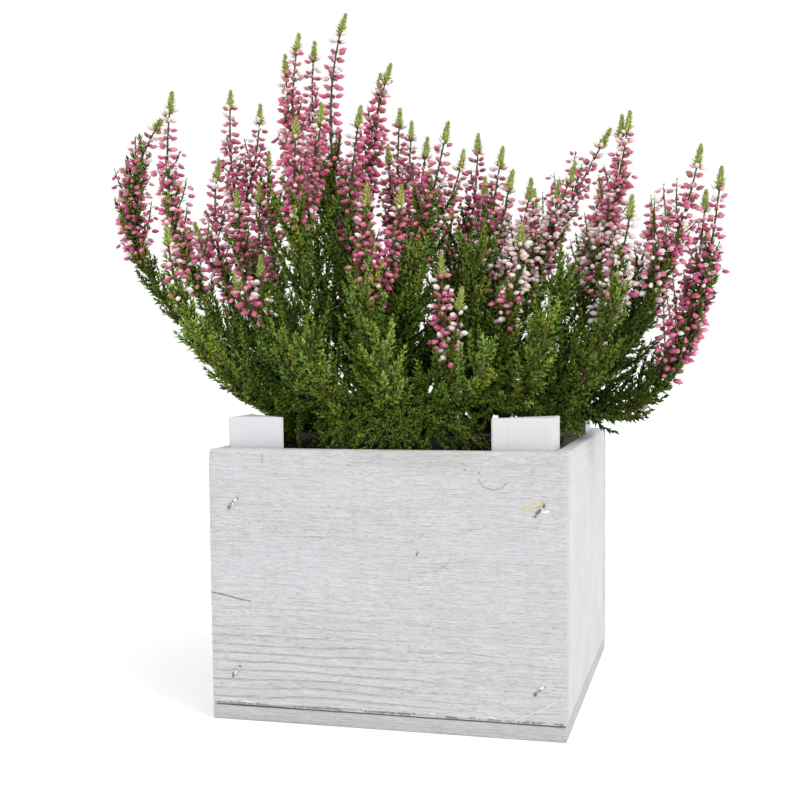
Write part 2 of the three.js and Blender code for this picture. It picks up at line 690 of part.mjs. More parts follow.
// What grows on the stems. Each form has a length, a lean from the stem and a radius to keep clear, and its
// sections, as [distance, radius], widen and narrow it between its root and its pointed tip.
function sprigForm(share) {
  const length = THREE.MathUtils.lerp(sprig.longest, sprig.shortest, share);
  return { ...sprig, length, sections: (reach) => leafWhorls(reach, sprig.radius, sprig.core) };
}

function leafForm() {
  return { ...leaf, sections: () => [] };
}

function budForm(size) {
  const radius = bud.radius * size;
  const sections = (reach) => [[reach * bud.waist, radius]];
  return { lean: bud.lean, length: bud.length * size, radius, sections };
}

function bractForm(size) {
  return { lean: bud.lean, length: bract.length * size, radius: bract.radius, sections: () => [] };
}

// Grows the form on the cell, shorter where its full length would meet something else, if it fits at all.
function tryGrow(entry, cell, form) {
  for (const size of growth.sizes) {
    const { root, heading, open } = entry.form.heading(cell, form.lean);
    const reach = form.length * size;
    const a = root.clone().addScaledVector(heading, reach * clearShare.from);
    const b = root.clone().addScaledVector(heading, reach * clearShare.to);
    const capsule = { a, b, r: form.radius, node: entry.node, stem: entry.form.curve, growth: true };
    if (open < growth.leastOpen || crossing([capsule], entry.node) || !clearOfHolder(capsule)) continue;
    entry.form.grow(cell, root, heading, form.sections(reach), reach);
    capsules.push(capsule);
    return true;
  }
  return false;
}

// Gives each form the first cell, in a drawn order, that has room for it.
function growBand(entry, cells, forms) {
  const drawn = cells.map((cell) => ({ cell, order: random() })).sort((p, q) => p.order - q.order);
  for (const form of forms) drawn.find(({ cell }) => !cell.covered && tryGrow(entry, cell, form));
}

const copies = (count, make) => Array.from({ length: count }, make);

// Buds and bracts all round each band of a spike, smaller towards its tip. The base's edge stays bare.
function dressSpike(entry) {
  const bands = entry.form.bands - tuft.bands;
  for (let level = 0; level < bands; level++) {
    const size = 1 - bud.taper * ((level + 0.5) / bands) ** 2;
    const forms = [
      ...copies(bud.perBand, () => budForm(size)),
      ...copies(bract.perBand, () => bractForm(size)),
    ];
    const cells = entry.form.cells.filter((cell) => cell.level === level && (level > 0 || cell.upper));
    growBand(entry, cells, forms);
  }
}

// Leaves all round each band of a leafy stem and a sprig on every second one, shorter towards the flowers.
function dressLeafyStem(entry) {
  const { bands } = entry.form;
  for (let level = entry.bareBands; level < bands; level++) {
    const share = (level - entry.bareBands + 0.5) / (bands - entry.bareBands);
    const withSprig = level % 2 === 0;
    const forms = copies(leaf.perBand - (withSprig ? 1 : 0), leafForm);
    if (withSprig) forms.unshift(sprigForm(share));
    const fits = (cell) => cell.level === level && (level < bands - 1 || !cell.upper);
    growBand(entry, entry.form.cells.filter(fits), forms);
  }
}

stems.filter((entry) => entry.kind === 'spike').forEach(dressSpike);
stems.filter((entry) => entry.kind === 'leafy').forEach(dressLeafyStem);

// ---------------------------------------------------------------- assembly
makeCrate();
makePot();

const stemHoles = shoots.filter((shoot) => shoot.trunk).map((shoot) => {
  const radius = stem.foot + 1.5 * gap;
  const [bottom, top] = [-rooting.depth - gap, rooting.holeTop];
  const hole = lathe([[0, bottom], [radius, bottom], [radius, top], [0, top]], rooting.holeSides);
  return solidOf(bentAlong(hole, shoot.curve));
});
makeSoil(stemHoles);

for (const [name, { material, forms }] of nodes) {
  addPiece(name, material, geometryOf(fused(forms.map((form) => form.solid()))));
}

export default object;
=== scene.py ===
"""The looks of a potted heather in a white-painted crate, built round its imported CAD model.

Metres, +Z up, the crate's front faces -Y. The tables are in millimetres, and MM turns them into metres.
"""

import math

import bpy
import numpy as np
from mathutils import Matrix, Vector


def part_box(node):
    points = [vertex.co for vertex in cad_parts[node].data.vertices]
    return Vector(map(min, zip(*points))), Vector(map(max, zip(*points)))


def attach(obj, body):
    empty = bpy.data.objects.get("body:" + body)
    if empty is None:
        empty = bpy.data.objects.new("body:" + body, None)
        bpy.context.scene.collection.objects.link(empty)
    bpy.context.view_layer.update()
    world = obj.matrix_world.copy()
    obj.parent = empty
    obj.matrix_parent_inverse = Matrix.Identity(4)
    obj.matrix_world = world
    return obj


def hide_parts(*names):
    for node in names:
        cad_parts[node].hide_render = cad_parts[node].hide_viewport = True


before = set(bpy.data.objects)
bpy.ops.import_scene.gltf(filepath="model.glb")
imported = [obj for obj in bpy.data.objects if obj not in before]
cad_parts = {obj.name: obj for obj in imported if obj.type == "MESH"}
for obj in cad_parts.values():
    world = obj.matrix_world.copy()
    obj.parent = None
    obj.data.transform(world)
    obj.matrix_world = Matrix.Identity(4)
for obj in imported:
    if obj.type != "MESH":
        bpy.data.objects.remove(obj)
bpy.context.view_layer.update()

# ---------------------------------------------------------------- driving dimensions
MM = 0.001
SOIL_TOP = 118  # where the stems stand, above the crate's underside
# Radii of stems at a branch's foot, of other shoots and at the top; depth in the soil; bare tip; corners.
STEM = {"foot": 1.7, "side": 1.1, "top": 0.8, "depth": 13, "tip": 4, "sides": 7}
TUFT = {"length": 13, "overlap": 4, "below": 3, "short": 2.4, "core": 1.6}  # the green tip above the buds
FORKS = {"first": 0.03, "step": 0.03}  # where shoots leave a branch's first shoot, as shares of its length
# Where lesser spikes leave the main one, and the elbow of their curves.
SIDE_SPIKE = {"first": 4, "step": 6, "elbow_share": 0.45, "elbow_drop": 6, "spread": 0.35}
SMALL_SPIKE = 30  # a spike shorter than this belongs to the leafy branch's own node

# Up to which height foliage grows: in the middle of the plant and, further from x = 0, at its sides.
LEAFY_TOP = {"middle": 240, "sides": 214, "from": 55, "to": 110}
LEAFY_BUDS = 0.7  # the greatest share of a spike with leafy sprigs, where its branch names none
RISE = 14  # how far long side shoots rise above their roots
# How light foliage is, with painted light and shade: lighter in front, behind y = `turn` / 2 again, and on
# the left, where light falls, and darker deep inside the bush.
BRIGHT = {"middle": 0.42, "depth": 0.0024, "right": 0.0007, "turn": 84, "scatter": 0.14, "tips": 0.22}
HANGING_FROM = -18  # shoots whose tips are in front of this y have hanging shoots too
SPARSE = {"from": 40, "pitch": 1.3}  # behind this y, side shoots stand further apart

# The branches, as in the CAD source: foot, and shoots as (tip, elbow, length of its flower spike, more).
# more: "fork", the share of the first shoot where this one leaves it; "sides", tips of lesser spikes beside
# its spike; "full", how much longer its foliage is at the top; "bushy", the same for the spike's own side
# branches; and "leafy", up to which share of the spike leafy sprigs grow.
BRANCHES = [
    ("left", (-44, -10), [
        ((-121, -25, 293), (-140, -30, 192), 88, {"leafy": 0.7, "bushy": 1.2}),
        ((-113, -52, 226), (-112, -52, 160), 24, {"full": 1.5}),
        ((-91, -78, 176), (-84, -68, 150), 0, {"full": 1.4}),
    ]),
    ("far_left", (-38, 8), [
        ((-134, -5, 287), (-206, -5, 200), 70, {"leafy": 0.85, "full": 1.6, "bushy": 1.4}),
        ((-113, 12, 265), (-130, 12, 186), 52, {"sides": [(-125, 6, 233)]}),
    ]),
    ("left_back", (-40, 26), [
        ((-120, 46, 308), (-128, 42, 190), 62, {"sides": [(-106, 54, 301)]}),
        ((-113, 84, 281), (-119, 78, 184), 42, {"full": 2.0, "leafy": 0.8}),
        ((-132, 58, 214), (-126, 52, 150), 26, {}),
    ]),
    ("inner_left", (-28, -18), [
        ((-93, -14, 246), (-96, -16, 184), 46, {"full": 1.15, "sides": [(-88, 4, 251)]}),
        ((-69, -44, 211), (-72, -46, 152), 20, {"sides": [(-77, -58, 203)]}),
        ((-54, -34, 276), (-60, -36, 190), 42, {"full": 1.6, "sides": [(-46, -20, 284)]}),
        ((-52, -66, 172), (-48, -60, 140), 0, {}),
    ]),
    ("middle", (-10, 4), [
        ((-64, 0, 323), (-84, 0, 212), 76, {"full": 1.3, "sides": [(-72, 1, 313)]}),
        ((-43, 12, 334), (-69, 12, 267), 66, {"bushy": 0.4}),
        ((-28, -14, 283), (-46, -12, 196), 58, {"full": 1.3}),
        ((14, -10, 274), (-5, -10, 190), 54, {"full": 1.4}),
        ((-22, 20, 310), (-54, 20, 222), 66, {"sides": [(-29, 24, 306)]}),
        ((-4, 22, 273), (-16, 24, 186), 50, {"sides": [(13, 30, 267)]}),
        ((2, -36, 210), (0, -32, 160), 0, {}),
    ]),
    ("back", (4, 33), [
        ((-68, 36, 328), (-82, 36, 214), 70, {"full": 1.5}),
        ((-57, 92, 256), (-58, 84, 170), 48, {}),
        ((-30, 66, 297), (-36, 62, 198), 64, {"sides": [(-31, 44, 274), (-24, 68, 290)]}),
        ((17, 47, 278), (15, 44, 186), 56, {}),
        ((-8, 96, 250), (-8, 86, 168), 46, {"full": 1.8}),
        ((40, 90, 254), (38, 80, 170), 46, {}),
    ]),
    ("front", (4, -30), [
        ((-16, -46, 242), (-22, -48, 168), 46, {"sides": [(-2, -38, 241)]}),
        ((32, -66, 193), (26, -68, 140), 26, {"sides": [(20, -54, 208)]}),
        ((-34, -80, 172), (-34, -76, 134), 0, {}),
        ((2, -86, 168), (2, -80, 132), 0, {}),
        ((-13, -66, 194), (-14, -62, 146), 0, {}),
        ((44, -76, 164), (38, -72, 134), 0, {}),
    ]),
    ("inner_right", (24, 1), [
        ((44, -4, 251), (28, -6, 182), 52, {"sides": [(54, -13, 245)]}),
        ((36, 14, 265), (20, 16, 182), 54, {"sides": [(25, 24, 252)]}),
        ((54, -40, 222), (48, -42, 154), 38, {}),
        ((70, -70, 180), (64, -64, 136), 0, {}),
        ((88, 20, 272), (50, 20, 206), 74, {"bushy": 1.5}),
        ((73, 2, 254), (52, 0, 192), 62, {"sides": [(65, 0, 245)]}),
        ((78, 74, 256), (70, 66, 172), 50, {}),
        ((30, -28, 212), (26, -26, 160), 0, {}),
        ((72, -34, 200), (62, -30, 150), 0, {}),
    ]),
    ("right", (43, -9), [
        ((98, 5, 277), (84, 4, 172), 76, {"bushy": 1.4, "sides": [(94, 8, 276)]}),
        ((101, -20, 235), (94, -22, 164), 48, {"sides": [(110, -8, 228)]}),
        ((98, -50, 194), (88, -50, 142), 0, {}),
    ]),
    ("far_right", (46, 12), [
        ((131, -14, 257), (119, -12, 178), 62, {"full": 1.6, "bushy": 1.5}),
        ((140, 2, 249), (128, 0, 108), 90,
         {"fork": 0.18, "full": 1.5, "bushy": 1.5, "sides": [(133, 12, 240)]}),
        ((121, 28, 180), (112, 30, 136), 22, {"fork": 0.13, "full": 1.5}),
        ((114, 58, 238), (108, 52, 156), 46, {"full": 2.1}),
    ]),
]

# Small shoots: the distance between them, their greatest and least length, their lean in radians, how much
# they turn upward, the share of their length at the plant's rim, and their core's radius and bands.
SHOOT_KEYS = ("pitch", "longest", "shortest", "lean", "rise", "outer", "core", "bands")
SIDE_SHOOT = dict(zip(SHOOT_KEYS, (4.1, 29, 17, 0.42, 1.3, 0.6, 0.4, 2)))
# `darker`: how much darker these inner shoots are, as painted shade inside the bush.
FILL = dict(zip(SHOOT_KEYS, (2.7, 34, 18, 0.75, 0.9, 0.5, 0.5, 2)), darker=0.22)
STEM_SPRIG = dict(zip(SHOOT_KEYS, (2.8, 11, 7, 0.7, 0.5, 0.8, 0.3, 1)), darker=0.12)
SPRIG = dict(zip(SHOOT_KEYS, (2.5, 5.8, 3.4, 0.55, 0.6, 1, 0.22, 1)))
BRANCHLET = dict(zip(SHOOT_KEYS, (4.6, 18, 8, 0.7, 0.9, 1, 0.5, 2)))
# Between which shares of the spike they grow, their buds' distance, and how much longer upper ones are.
BRANCHLET_PLACES = {"low": 0.02, "high": 0.66, "buds": 1.5, "upper": 1.2}
OUTER = (84, 118)  # distance from the pot's axis over which side shoots grow shorter
# Shoots are shorter below leaning stems: by the height of their direction, and away from the pot's axis.
UNDERSIDE = {"directions": (-0.75, -0.05), "length": 0.45, "spans": (45, 75)}
# Hanging shoots, and where they root and end, by distance from the pot's axis and height.
SKIRT = {"pitch": 2.1, "stray": 0.3, "lift": 0.35, "arch": 1.12, "core": 0.4, "bands": 2, "darker": 0.04}
SKIRT_ROOTS = {"nearest": 34, "farthest": 66, "highest": 152}
SKIRT_TIPS = {"nearest": 70.5, "farthest": 79, "low": 115, "high": 129, "inside": 75.5, "clear": 1.5}

# Scale leaves: their distance, length, width, lean in radians, and where along their shoot they begin.
LEAF_KEYS = ("pitch", "length", "width", "lean", "first")
LEAF = dict(zip(LEAF_KEYS, (1.15, 2.2, 0.95, 0.62, 0.45)))
SPRIG_LEAF = dict(LEAF, first=0.06)
INNER_LEAF = dict(zip(LEAF_KEYS, (2.0, 4.6, 2.3, 0.75, 0.04)))
HANGING_LEAF = dict(zip(LEAF_KEYS, (1.5, 3.0, 1.4, 0.7, 0.04)))
BRACT = dict(zip(LEAF_KEYS, (1.35, 3.2, 1.2, 0.62)))
TUFT_LEAF = dict(zip(LEAF_KEYS, (0.8, 4.7, 2.5, 0.85)))
SCALES = {"ranks": 4, "shrink": 0.4}  # round a spike's axis and its tuft
# Buds stand in whorls. They shrink towards a spike's tip, droop low on it and rise at its top.
BUD = {"whorl": 4.3, "count": 4, "length": 5.1, "radius": 1.45, "stalk": 1.8, "sides": 5}
BUD_HABIT = {"taper": 0.26, "droop": 0.1, "rise": 0.4}
FADED = {"whorl": 6.5, "pale": 0.6, "bushy": 0.5}  # small low spikes: fewer buds, more of them pale
SPIKE_AXIS = 0.7  # radius at its foot
GOLDEN_ANGLE = math.pi * (3 - math.sqrt(5))
# Random variation: the least and the greatest factor of a size or tint, and how far directions stray.
SIZES = {"shoot": (0.7, 1.12), "sprig": (0.7, 1.1), "leaf": (0.85, 1.1), "bud": (0.86, 1.1)}
SIZES |= {"stalk": (0.6, 1.7), "small_bud": (0.84, 1.1)}
TINTS = {"shoot": (0.8, 1.2), "sprig": (0.75, 1.1), "leaf": (0.7, 1.15)}
TINTS |= {"bud": (0.7, 1.25), "bract": (0.7, 1.3)}
STRAY = {"shoot": 0.07, "leaf": 0.08, "bud": 0.12, "lift": 0.16, "bract": 0.3, "whorl": 0.16, "turn": 0.22}

# What holds the plant: limits in x and y or in distance from the pot's axis, and heights.
HOLDERS = {"crate": (81, 86), "post": (46, 51), "rim": (60, 70), "wall": (71, 76), "soil": 61}
HOLDER_TOPS = (137, 129, 123.5, 119)  # post, the pot's rim, wall and soil

# Colours, as linear red, green and blue.
WOOD_STEM = (0.085, 0.040, 0.020)
GREEN_STEM = (0.10, 0.10, 0.025)
# Foliage greens from deep to fresh and lit: which one a shoot gets carries painted light and shade.
DEEP_GREEN = (0.030, 0.056, 0.005)
MID_GREEN = (0.092, 0.150, 0.016)
FRESH_AND_LIT_GREEN = (0.265, 0.345, 0.065)
TIP_GREEN = (0.270, 0.310, 0.075)
BRACT_GREEN = (0.120, 0.100, 0.035)
WARM_GREEN, COOL_GREEN = (1.12, 0.99, 0.70), (0.90, 1.02, 1.30)  # what a shoot's own hue does to its green
BUD_MAGENTA = (0.500, 0.045, 0.200)
BUD_ROSE = (0.720, 0.150, 0.270)
BUD_DUSK = (0.420, 0.170, 0.120)
BUD_PALE = (0.850, 0.560, 0.590)
BUD_CREAM = (0.930, 0.900, 0.820)
# The share of pale buds: in a zone of x and below a zone of z, at least anywhere, and at a spike's tip.
PALE_ZONE = {"share": 0.75, "x": (0, 45), "x_end": (118, 104), "z": (252, 215), "least": 0.10, "tip": 0.8}
LILAC, WARM_WHITE = (1.0, 0.985, 1.03), (1.01, 0.99, 0.985)  # the casts of the paint
# The second colour is the foliage's painted shade, with its green cast, under the front board's top edge.
CRACK, PAINTED_SHADE = (0.09, 0.08, 0.075), (0.36, 0.38, 0.34)
CHIP, BARE_WOOD = (0.93, 0.93, 0.93), (0.62, 0.58, 0.27)

# How light the paint is, and how much grain shows through it, by the axis of the grain. The lightness
# differs only as painted light and shade: one white paint, lighter on the posts and darker on the sides,
# back and base than on the front.
PAINT = {"X": (0.495, 0.7), "Y": (0.54, 0.22), "Z": (0.64, 0.12), "front": (0.59, 0.85)}
GRAIN_RELIEF = 2.3
MARK_RELIEF = 0.25  # how deep marks and rings are beside the grain
# Growth rings on the front board: they fade out upward from `full` to `top` and from `left` to `right`.
RINGS = {"pitch": 3.9, "warp": 10, "full": 26, "top": 66, "left": -20, "right": 60, "dark": 0.07}

# Marks on the front board, one of them painted shade: points (x, z) on its face, width, strength, colour,
# raggedness and direction.
FRONT_FACE_Y = -85
SUNK, RAISED = "SUBTRACT", "ADD"
MARKS = [
    ([(-79.7, 57.7), (-73, 56.6), (-64.4, 54.7), (-61, 54.4)], 0.42, 0.75, CRACK, 0.5, SUNK),
    ([(-79.7, 54.2), (-66, 54.3), (-55.4, 53.7), (-37.6, 54.6)], 0.22, 0.35, CRACK, 0.5, SUNK),
    ([(15, 69.6), (22.3, 70.4), (28, 73.4), (30.5, 76.4)], 0.35, 0.4, CRACK, 0.5, SUNK),
    ([(42.4, 110.6), (44.5, 107.4), (48.6, 106.2), (52.4, 107), (54.6, 109.3)],
     0.45, 0.4, CRACK, 0.5, SUNK),
    ([(-54.2, 119.9), (-54.2, 116.2)], 0.35, 0.5, CRACK, 0.5, SUNK),
    ([(15.4, 77.4), (16, 78.8)], 0.55, 0.85, CRACK, 0.5, SUNK),
    ([(36.6, 114.6), (37, 114.4)], 0.45, 0.75, CRACK, 0.5, SUNK),
    ([(42.6, 113.2), (43, 113.6)], 0.4, 0.7, CRACK, 0.5, SUNK),
    # Painted shade of the foliage above, with its green cast, along the board's top edge.
    ([(-8, 119), (34, 119.4)], 7.0, 0.28, PAINTED_SHADE, 6, SUNK),
    ([(58.4, 8.1), (68.6, 13.1), (78.7, 19.3)], 0.5, 0.35, CHIP, 0.5, RAISED),
    *(([(x - 2, 8.8), (x + 2, 8.3)], 0.6, 0.45, CHIP, 2.4, RAISED) for x in (-63, -40, -7, 23, 48)),
    *(([(x - 12, 7.7), (x + 12, 7.8)], 0.5, 0.6, CRACK, 2.2, SUNK) for x in (-66, -30, 4, 40, 66)),
    ([(62.6, 98.6), (69.2, 101.0)], 1.3, 0.75, BARE_WOOD, 2.6, RAISED),
    ([(69.6, 97.4), (72.4, 98.0)], 0.9, 0.6, CHIP, 2.2, RAISED),
]

# Radii of the arrises, how far grain stands proud, and how strong grain and growth rings are.
BOARD = {"round": 0.55, "top": 1.8, "base_top": 0.6, "proud": 0.16, "rings": 0.35}
POST = {"round": 0.7, "blunt": 0.8, "sunk": 0.2, "rough": 0.8, "rings": 0.3}
POST_FACES = {"across": 1.5, "up": 3.4, "ease": 0.3}  # their size, and how much smaller at the corners
# The pot's wall and lip, the radii of its floor and mouth and of its rim's roll; then holes and soil.
POT = {"wall": 1.2, "floor": 49, "mouth": 64.5, "lip": 9, "roll": 1.1, "sides": 96}
DRAIN_HOLES = {"count": 4, "from_axis": 34, "radius": 4, "sides": 24}
PEAT = {"margin": 0.6, "foot": 50, "sides": 108, "rings": 30, "lumps": 0.9, "crumbs": 420}

# The photo's camera, in metres and degrees, and suns as (name, strength, angle in degrees, direction).
CAMERA = {"place": (0.1415, -0.5816, 0.164), "yaw": -14.41, "pitch": 4.51, "roll": 0.474}
LENS = {"length": 54.45, "shift": (-0.015, 0.06)}
LIGHTS = (("key", 1.3, 40, (-0.66, 0.20, -0.72)), ("fill", 0.35, 60, (0.5, 0.8, -0.9)))
FLOOR_REACH = 8.0  # metres


# ---------------------------------------------------------------- numbers and meshes
def unit(vectors):
    return vectors / np.maximum(np.linalg.norm(vectors, axis=-1, keepdims=True), 1e-12)


def mix(low, high, share):
    """Between two numbers or two arrays of them."""
    return low + (high - low) * share


def tint_mix(low, high, share):
    """Between two colours, or two arrays of them, for an array of shares."""
    low, high = np.asarray(low, float), np.asarray(high, float)
    return low + (high - low) * np.asarray(share, float)[..., None]


def smoothstep(low, high, value):
    share = np.clip((np.asarray(value, float) - low) / (high - low), 0, 1)
    return share * share * (3 - 2 * share)


def lattice(column, row, seed):
    """A repeatable number from 0 to 1 for each lattice cell."""
    mixed = (column.astype(np.int64) * 73856093) ^ (row.astype(np.int64) * 19349663) ^ (seed * 83492791)
    mixed = ((mixed & 0x7FFFFFFF) ^ (mixed >> 13 & 0x3FFFF)) * 1274126177 & 0x7FFFFFFF
    mixed = (mixed ^ (mixed >> 15)) * 668265263 & 0x7FFFFFFF
    return mixed / 0x7FFFFFFF


def noise(x, y, seed):
    """Smooth value noise from -1 to 1."""
    column, row = np.floor(x), np.floor(y)
    along, across = smoothstep(0, 1, x - column), smoothstep(0, 1, y - row)
    near = mix(lattice(column, row, seed), lattice(column + 1, row, seed), along)
    far = mix(lattice(column, row + 1, seed), lattice(column + 1, row + 1, seed), along)
    return 2 * mix(near, far, across) - 1


def circle(sides):
    """The turns of a ring's corners."""
    return np.arange(sides) * 2 * math.pi / sides


def grid(rows, columns):
    """The row and the column of each cell of a grid."""
    return (part.ravel() for part in np.meshgrid(np.arange(rows), np.arange(columns), indexing="ij"))


def ring_walls(rings, sides):
    """Quads between rings of points that follow each other."""
    level, turn = grid(rings - 1, sides)
    low, beyond = level * sides + turn, level * sides + (turn + 1) % sides
    return np.stack([low, beyond, beyond + sides, low + sides], 1)


def fan(first, sides, hub, flip=False):
    """Triangles between a ring of points, which starts at the point `first`, and a hub."""
    ring, following = first + np.arange(sides), first + (np.arange(sides) + 1) % sides
    return np.stack([following if flip else ring, ring if flip else following, np.full(sides, hub)], 1)


class Parts:
    """Collects triangles, their tints and their materials, and makes one mesh object of them."""

    def __init__(self):
        self.points, self.faces, self.tints, self.kinds = [], [], [], []
        self.count = 0

    def add(self, points, faces, tint, kind=0):
        points = np.asarray(points, float).reshape(-1, 3)
        self.points.append(points)
        self.faces.append(np.asarray(faces).reshape(-1, 3) + self.count)
        self.tints.append(np.broadcast_to(np.asarray(tint, float), points.shape))
        self.kinds.append(np.full(len(self.faces[-1]), kind))
        self.count += len(points)

    def add_copies(self, points, faces, tints, kind=0):
        """Adds (copy, point) arrays of points, whose faces are the same in each copy."""
        first = np.arange(len(points)) * points.shape[1]
        self.add(points, first[:, None, None] + np.array(faces), tints, kind)

    def make(self, name, materials):
        points, faces = np.concatenate(self.points), np.concatenate(self.faces)
        made = mesh_object(name, points, [faces], materials, np.concatenate(self.kinds))
        tints = np.concatenate(self.tints)
        tint = made.data.color_attributes.new("tint", "FLOAT_COLOR", "POINT")
        tint.data.foreach_set("color", np.c_[tints, np.ones(len(tints))].astype(np.float32).ravel())
        return made


def mesh_object(name, points, face_groups, materials, kinds=None, smooth=True):
    """A mesh object from points in metres and groups of faces, each an (n, corners) array."""
    mesh = bpy.data.meshes.new(name)
    corners = np.concatenate([faces.ravel() for faces in face_groups])
    sizes = np.concatenate([np.full(len(faces), faces.shape[1]) for faces in face_groups])
    mesh.vertices.add(len(points))
    mesh.vertices.foreach_set("co", np.ascontiguousarray(points, np.float32).ravel())
    mesh.loops.add(len(corners))
    mesh.loops.foreach_set("vertex_index", corners.astype(np.int32))
    mesh.polygons.add(len(sizes))
    mesh.polygons.foreach_set("loop_start", (np.cumsum(sizes) - sizes).astype(np.int32))
    mesh.polygons.foreach_set("use_smooth", np.full(len(sizes), smooth))
    if kinds is not None:
        mesh.polygons.foreach_set("material_index", kinds.astype(np.int32))
    for material in materials:
        mesh.materials.append(material)
    mesh.update(calc_edges=True)
    made = bpy.data.objects.new(name, mesh)
    bpy.context.scene.collection.objects.link(made)
    return made


def settle(piece, slot, *nodes):
    """The piece rides on the one body and stands for the CAD nodes, which it hides. `slot` is not used."""
    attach(piece, "root")
    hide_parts(*nodes)


def tube(path, radii, sides):
    """Points and triangles of a closed tube along a path, pointed at its far end."""
    steps = unit(np.gradient(path, axis=0))
    across = unit(np.cross(steps, np.array([0.31, 0.87, 0.12])))  # any direction that no path follows
    out = np.cross(across, steps)
    turns = circle(sides)[None, :, None]
    rings = path[:, None] + np.asarray(radii)[:, None, None] * (
        np.cos(turns) * across[:, None] + np.sin(turns) * out[:, None]
    )
    points = np.concatenate([rings.reshape(-1, 3), path[:1], path[-1:] + steps[-1:] * radii[-1]])
    quads = ring_walls(len(path), sides)
    base = fan(0, sides, len(points) - 2)
    tip = fan((len(path) - 1) * sides, sides, len(points) - 1, flip=True)
    return points, np.concatenate([quads[:, [0, 3, 1]], quads[:, [1, 3, 2]], base, tip])


# ---------------------------------------------------------------- materials
class Graph:
    """A new material with a Principled shader, and short calls that add nodes and return an output."""

    def __init__(self, name, roughness, **sockets):
        self.material = bpy.data.materials.new(name)
        self.material.use_nodes = True
        self.tree = self.material.node_tree
        self.shader = self.tree.nodes["Principled BSDF"]
        self.feed(self.shader, {"Roughness": roughness})
        self.feed(self.shader, {key.replace("_", " "): value for key, value in sockets.items()})

    def feed(self, node, inputs):
        """Links each input, given by name or place, to a socket, or sets its value."""
        for key, value in inputs.items():
            if isinstance(value, bpy.types.NodeSocket):
                self.tree.links.new(value, node.inputs[key])
            else:
                node.inputs[key].default_value = value

    def add(self, kind, inputs, output=0, **settings):
        node = self.tree.nodes.new("ShaderNode" + kind)
        for key, value in settings.items():
            setattr(node, key, value)
        self.feed(node, inputs)
        return node.outputs[output]

    def place(self):
        return self.add("TexCoord", {}, "Object")

    def noise(self, scale, detail=4, stretch=(1, 1, 1), offset=(0, 0, 0)):
        """The factor of a noise texture in object coordinates, in cycles per metre."""
        spot = self.add("Mapping", {"Vector": self.place(), "Scale": stretch, "Location": offset})
        return self.add("TexNoise", {"Vector": spot, "Scale": scale, "Detail": detail}, "Fac")

    def math(self, operation, first, second=0.0):
        return self.add("Math", {0: first, 1: second}, operation=operation)

    def times(self, first, second):
        return self.math("MULTIPLY", first, second)

    def ramp(self, factor, low, high, out_low=0.0, out_high=1.0):
        """Maps a factor smoothly from one range to another."""
        ends = {"Value": factor, "From Min": low, "From Max": high, "To Min": out_low, "To Max": out_high}
        return self.add("MapRange", ends, "Result", interpolation_type="SMOOTHSTEP")

    def blend(self, factor, low, high):
        """A colour between two colours, each a socket or red, green and blue."""
        low, high = ((*end, 1) if isinstance(end, tuple) else end for end in (low, high))
        return self.add("Mix", {0: factor, 6: low, 7: high}, 2, data_type="RGBA")

    def vector(self, operation, inputs, output=0):
        return self.add("VectorMath", inputs, output, operation=operation)

    def distance(self, point, start, end):
        """How far the socket `point`, a vector, is from the line between two places."""
        along = Vector(end) - Vector(start)
        offset = self.vector("SUBTRACT", {0: point, 1: Vector(start)})
        share = self.vector("DOT_PRODUCT", {0: offset, 1: along / along.length_squared}, "Value")
        share = self.math("MINIMUM", self.math("MAXIMUM", share), 1.0)
        foot = self.vector("SCALE", {0: along, "Scale": share})
        return self.vector("DISTANCE", {0: offset, 1: foot}, "Value")

    def finish(self, colour, height=None, relief=0.0, **sockets):
        """Feeds the shader its colour, its relief in metres and more, and returns the material."""
        self.feed(self.shader, {"Base Color": colour, **sockets})
        if height is not None:
            self.feed(self.shader, {"Normal": self.add("Bump", {"Height": height, "Distance": relief})})
        return self.material


def plant_material(name, roughness, spread, scale, relief, **sockets):
    """A plant surface: its mesh's tint, lighter and darker in small patches, with a fine relief."""
    graph = Graph(name, roughness, **sockets)
    tint = graph.add("Attribute", {}, "Color", attribute_name="tint")
    light = graph.ramp(graph.noise(scale), 0.3, 0.7, 1 - spread, 1 + spread)
    colour = graph.vector("SCALE", {0: tint, "Scale": light})
    return graph.finish(colour, graph.noise(scale * 3, 2), relief * MM)


def tinted(cast, light):
    return tuple(light * part for part in cast)


def grain_lines(graph, source, width):
    """Thin wavy lines where a noise passes through its middle value."""
    return graph.ramp(graph.math("ABSOLUTE", graph.math("SUBTRACT", source, 0.5)), 0.0, width, 1.0, 0.0)


def ring_lines(graph, place):
    """Regular lines of growth rings low on the left of the front board."""
    x = graph.add("SeparateXYZ", {0: place}, "X")
    z = graph.add("SeparateXYZ", {0: place}, "Z")
    warp = graph.times(graph.noise(30, 3, (0.25, 1, 1), (2.2, 0, 0.7)), RINGS["warp"] * MM)
    wave = graph.math("SINE", graph.times(graph.math("ADD", z, warp), 2 * math.pi / (RINGS["pitch"] * MM)))
    low = graph.ramp(z, RINGS["full"] * MM, RINGS["top"] * MM, 1.0, 0.0)
    left = graph.ramp(x, RINGS["left"] * MM, RINGS["right"] * MM, 1.0, 0.15)
    return graph.times(graph.ramp(wave, 0.82, 1.0), graph.times(low, left))


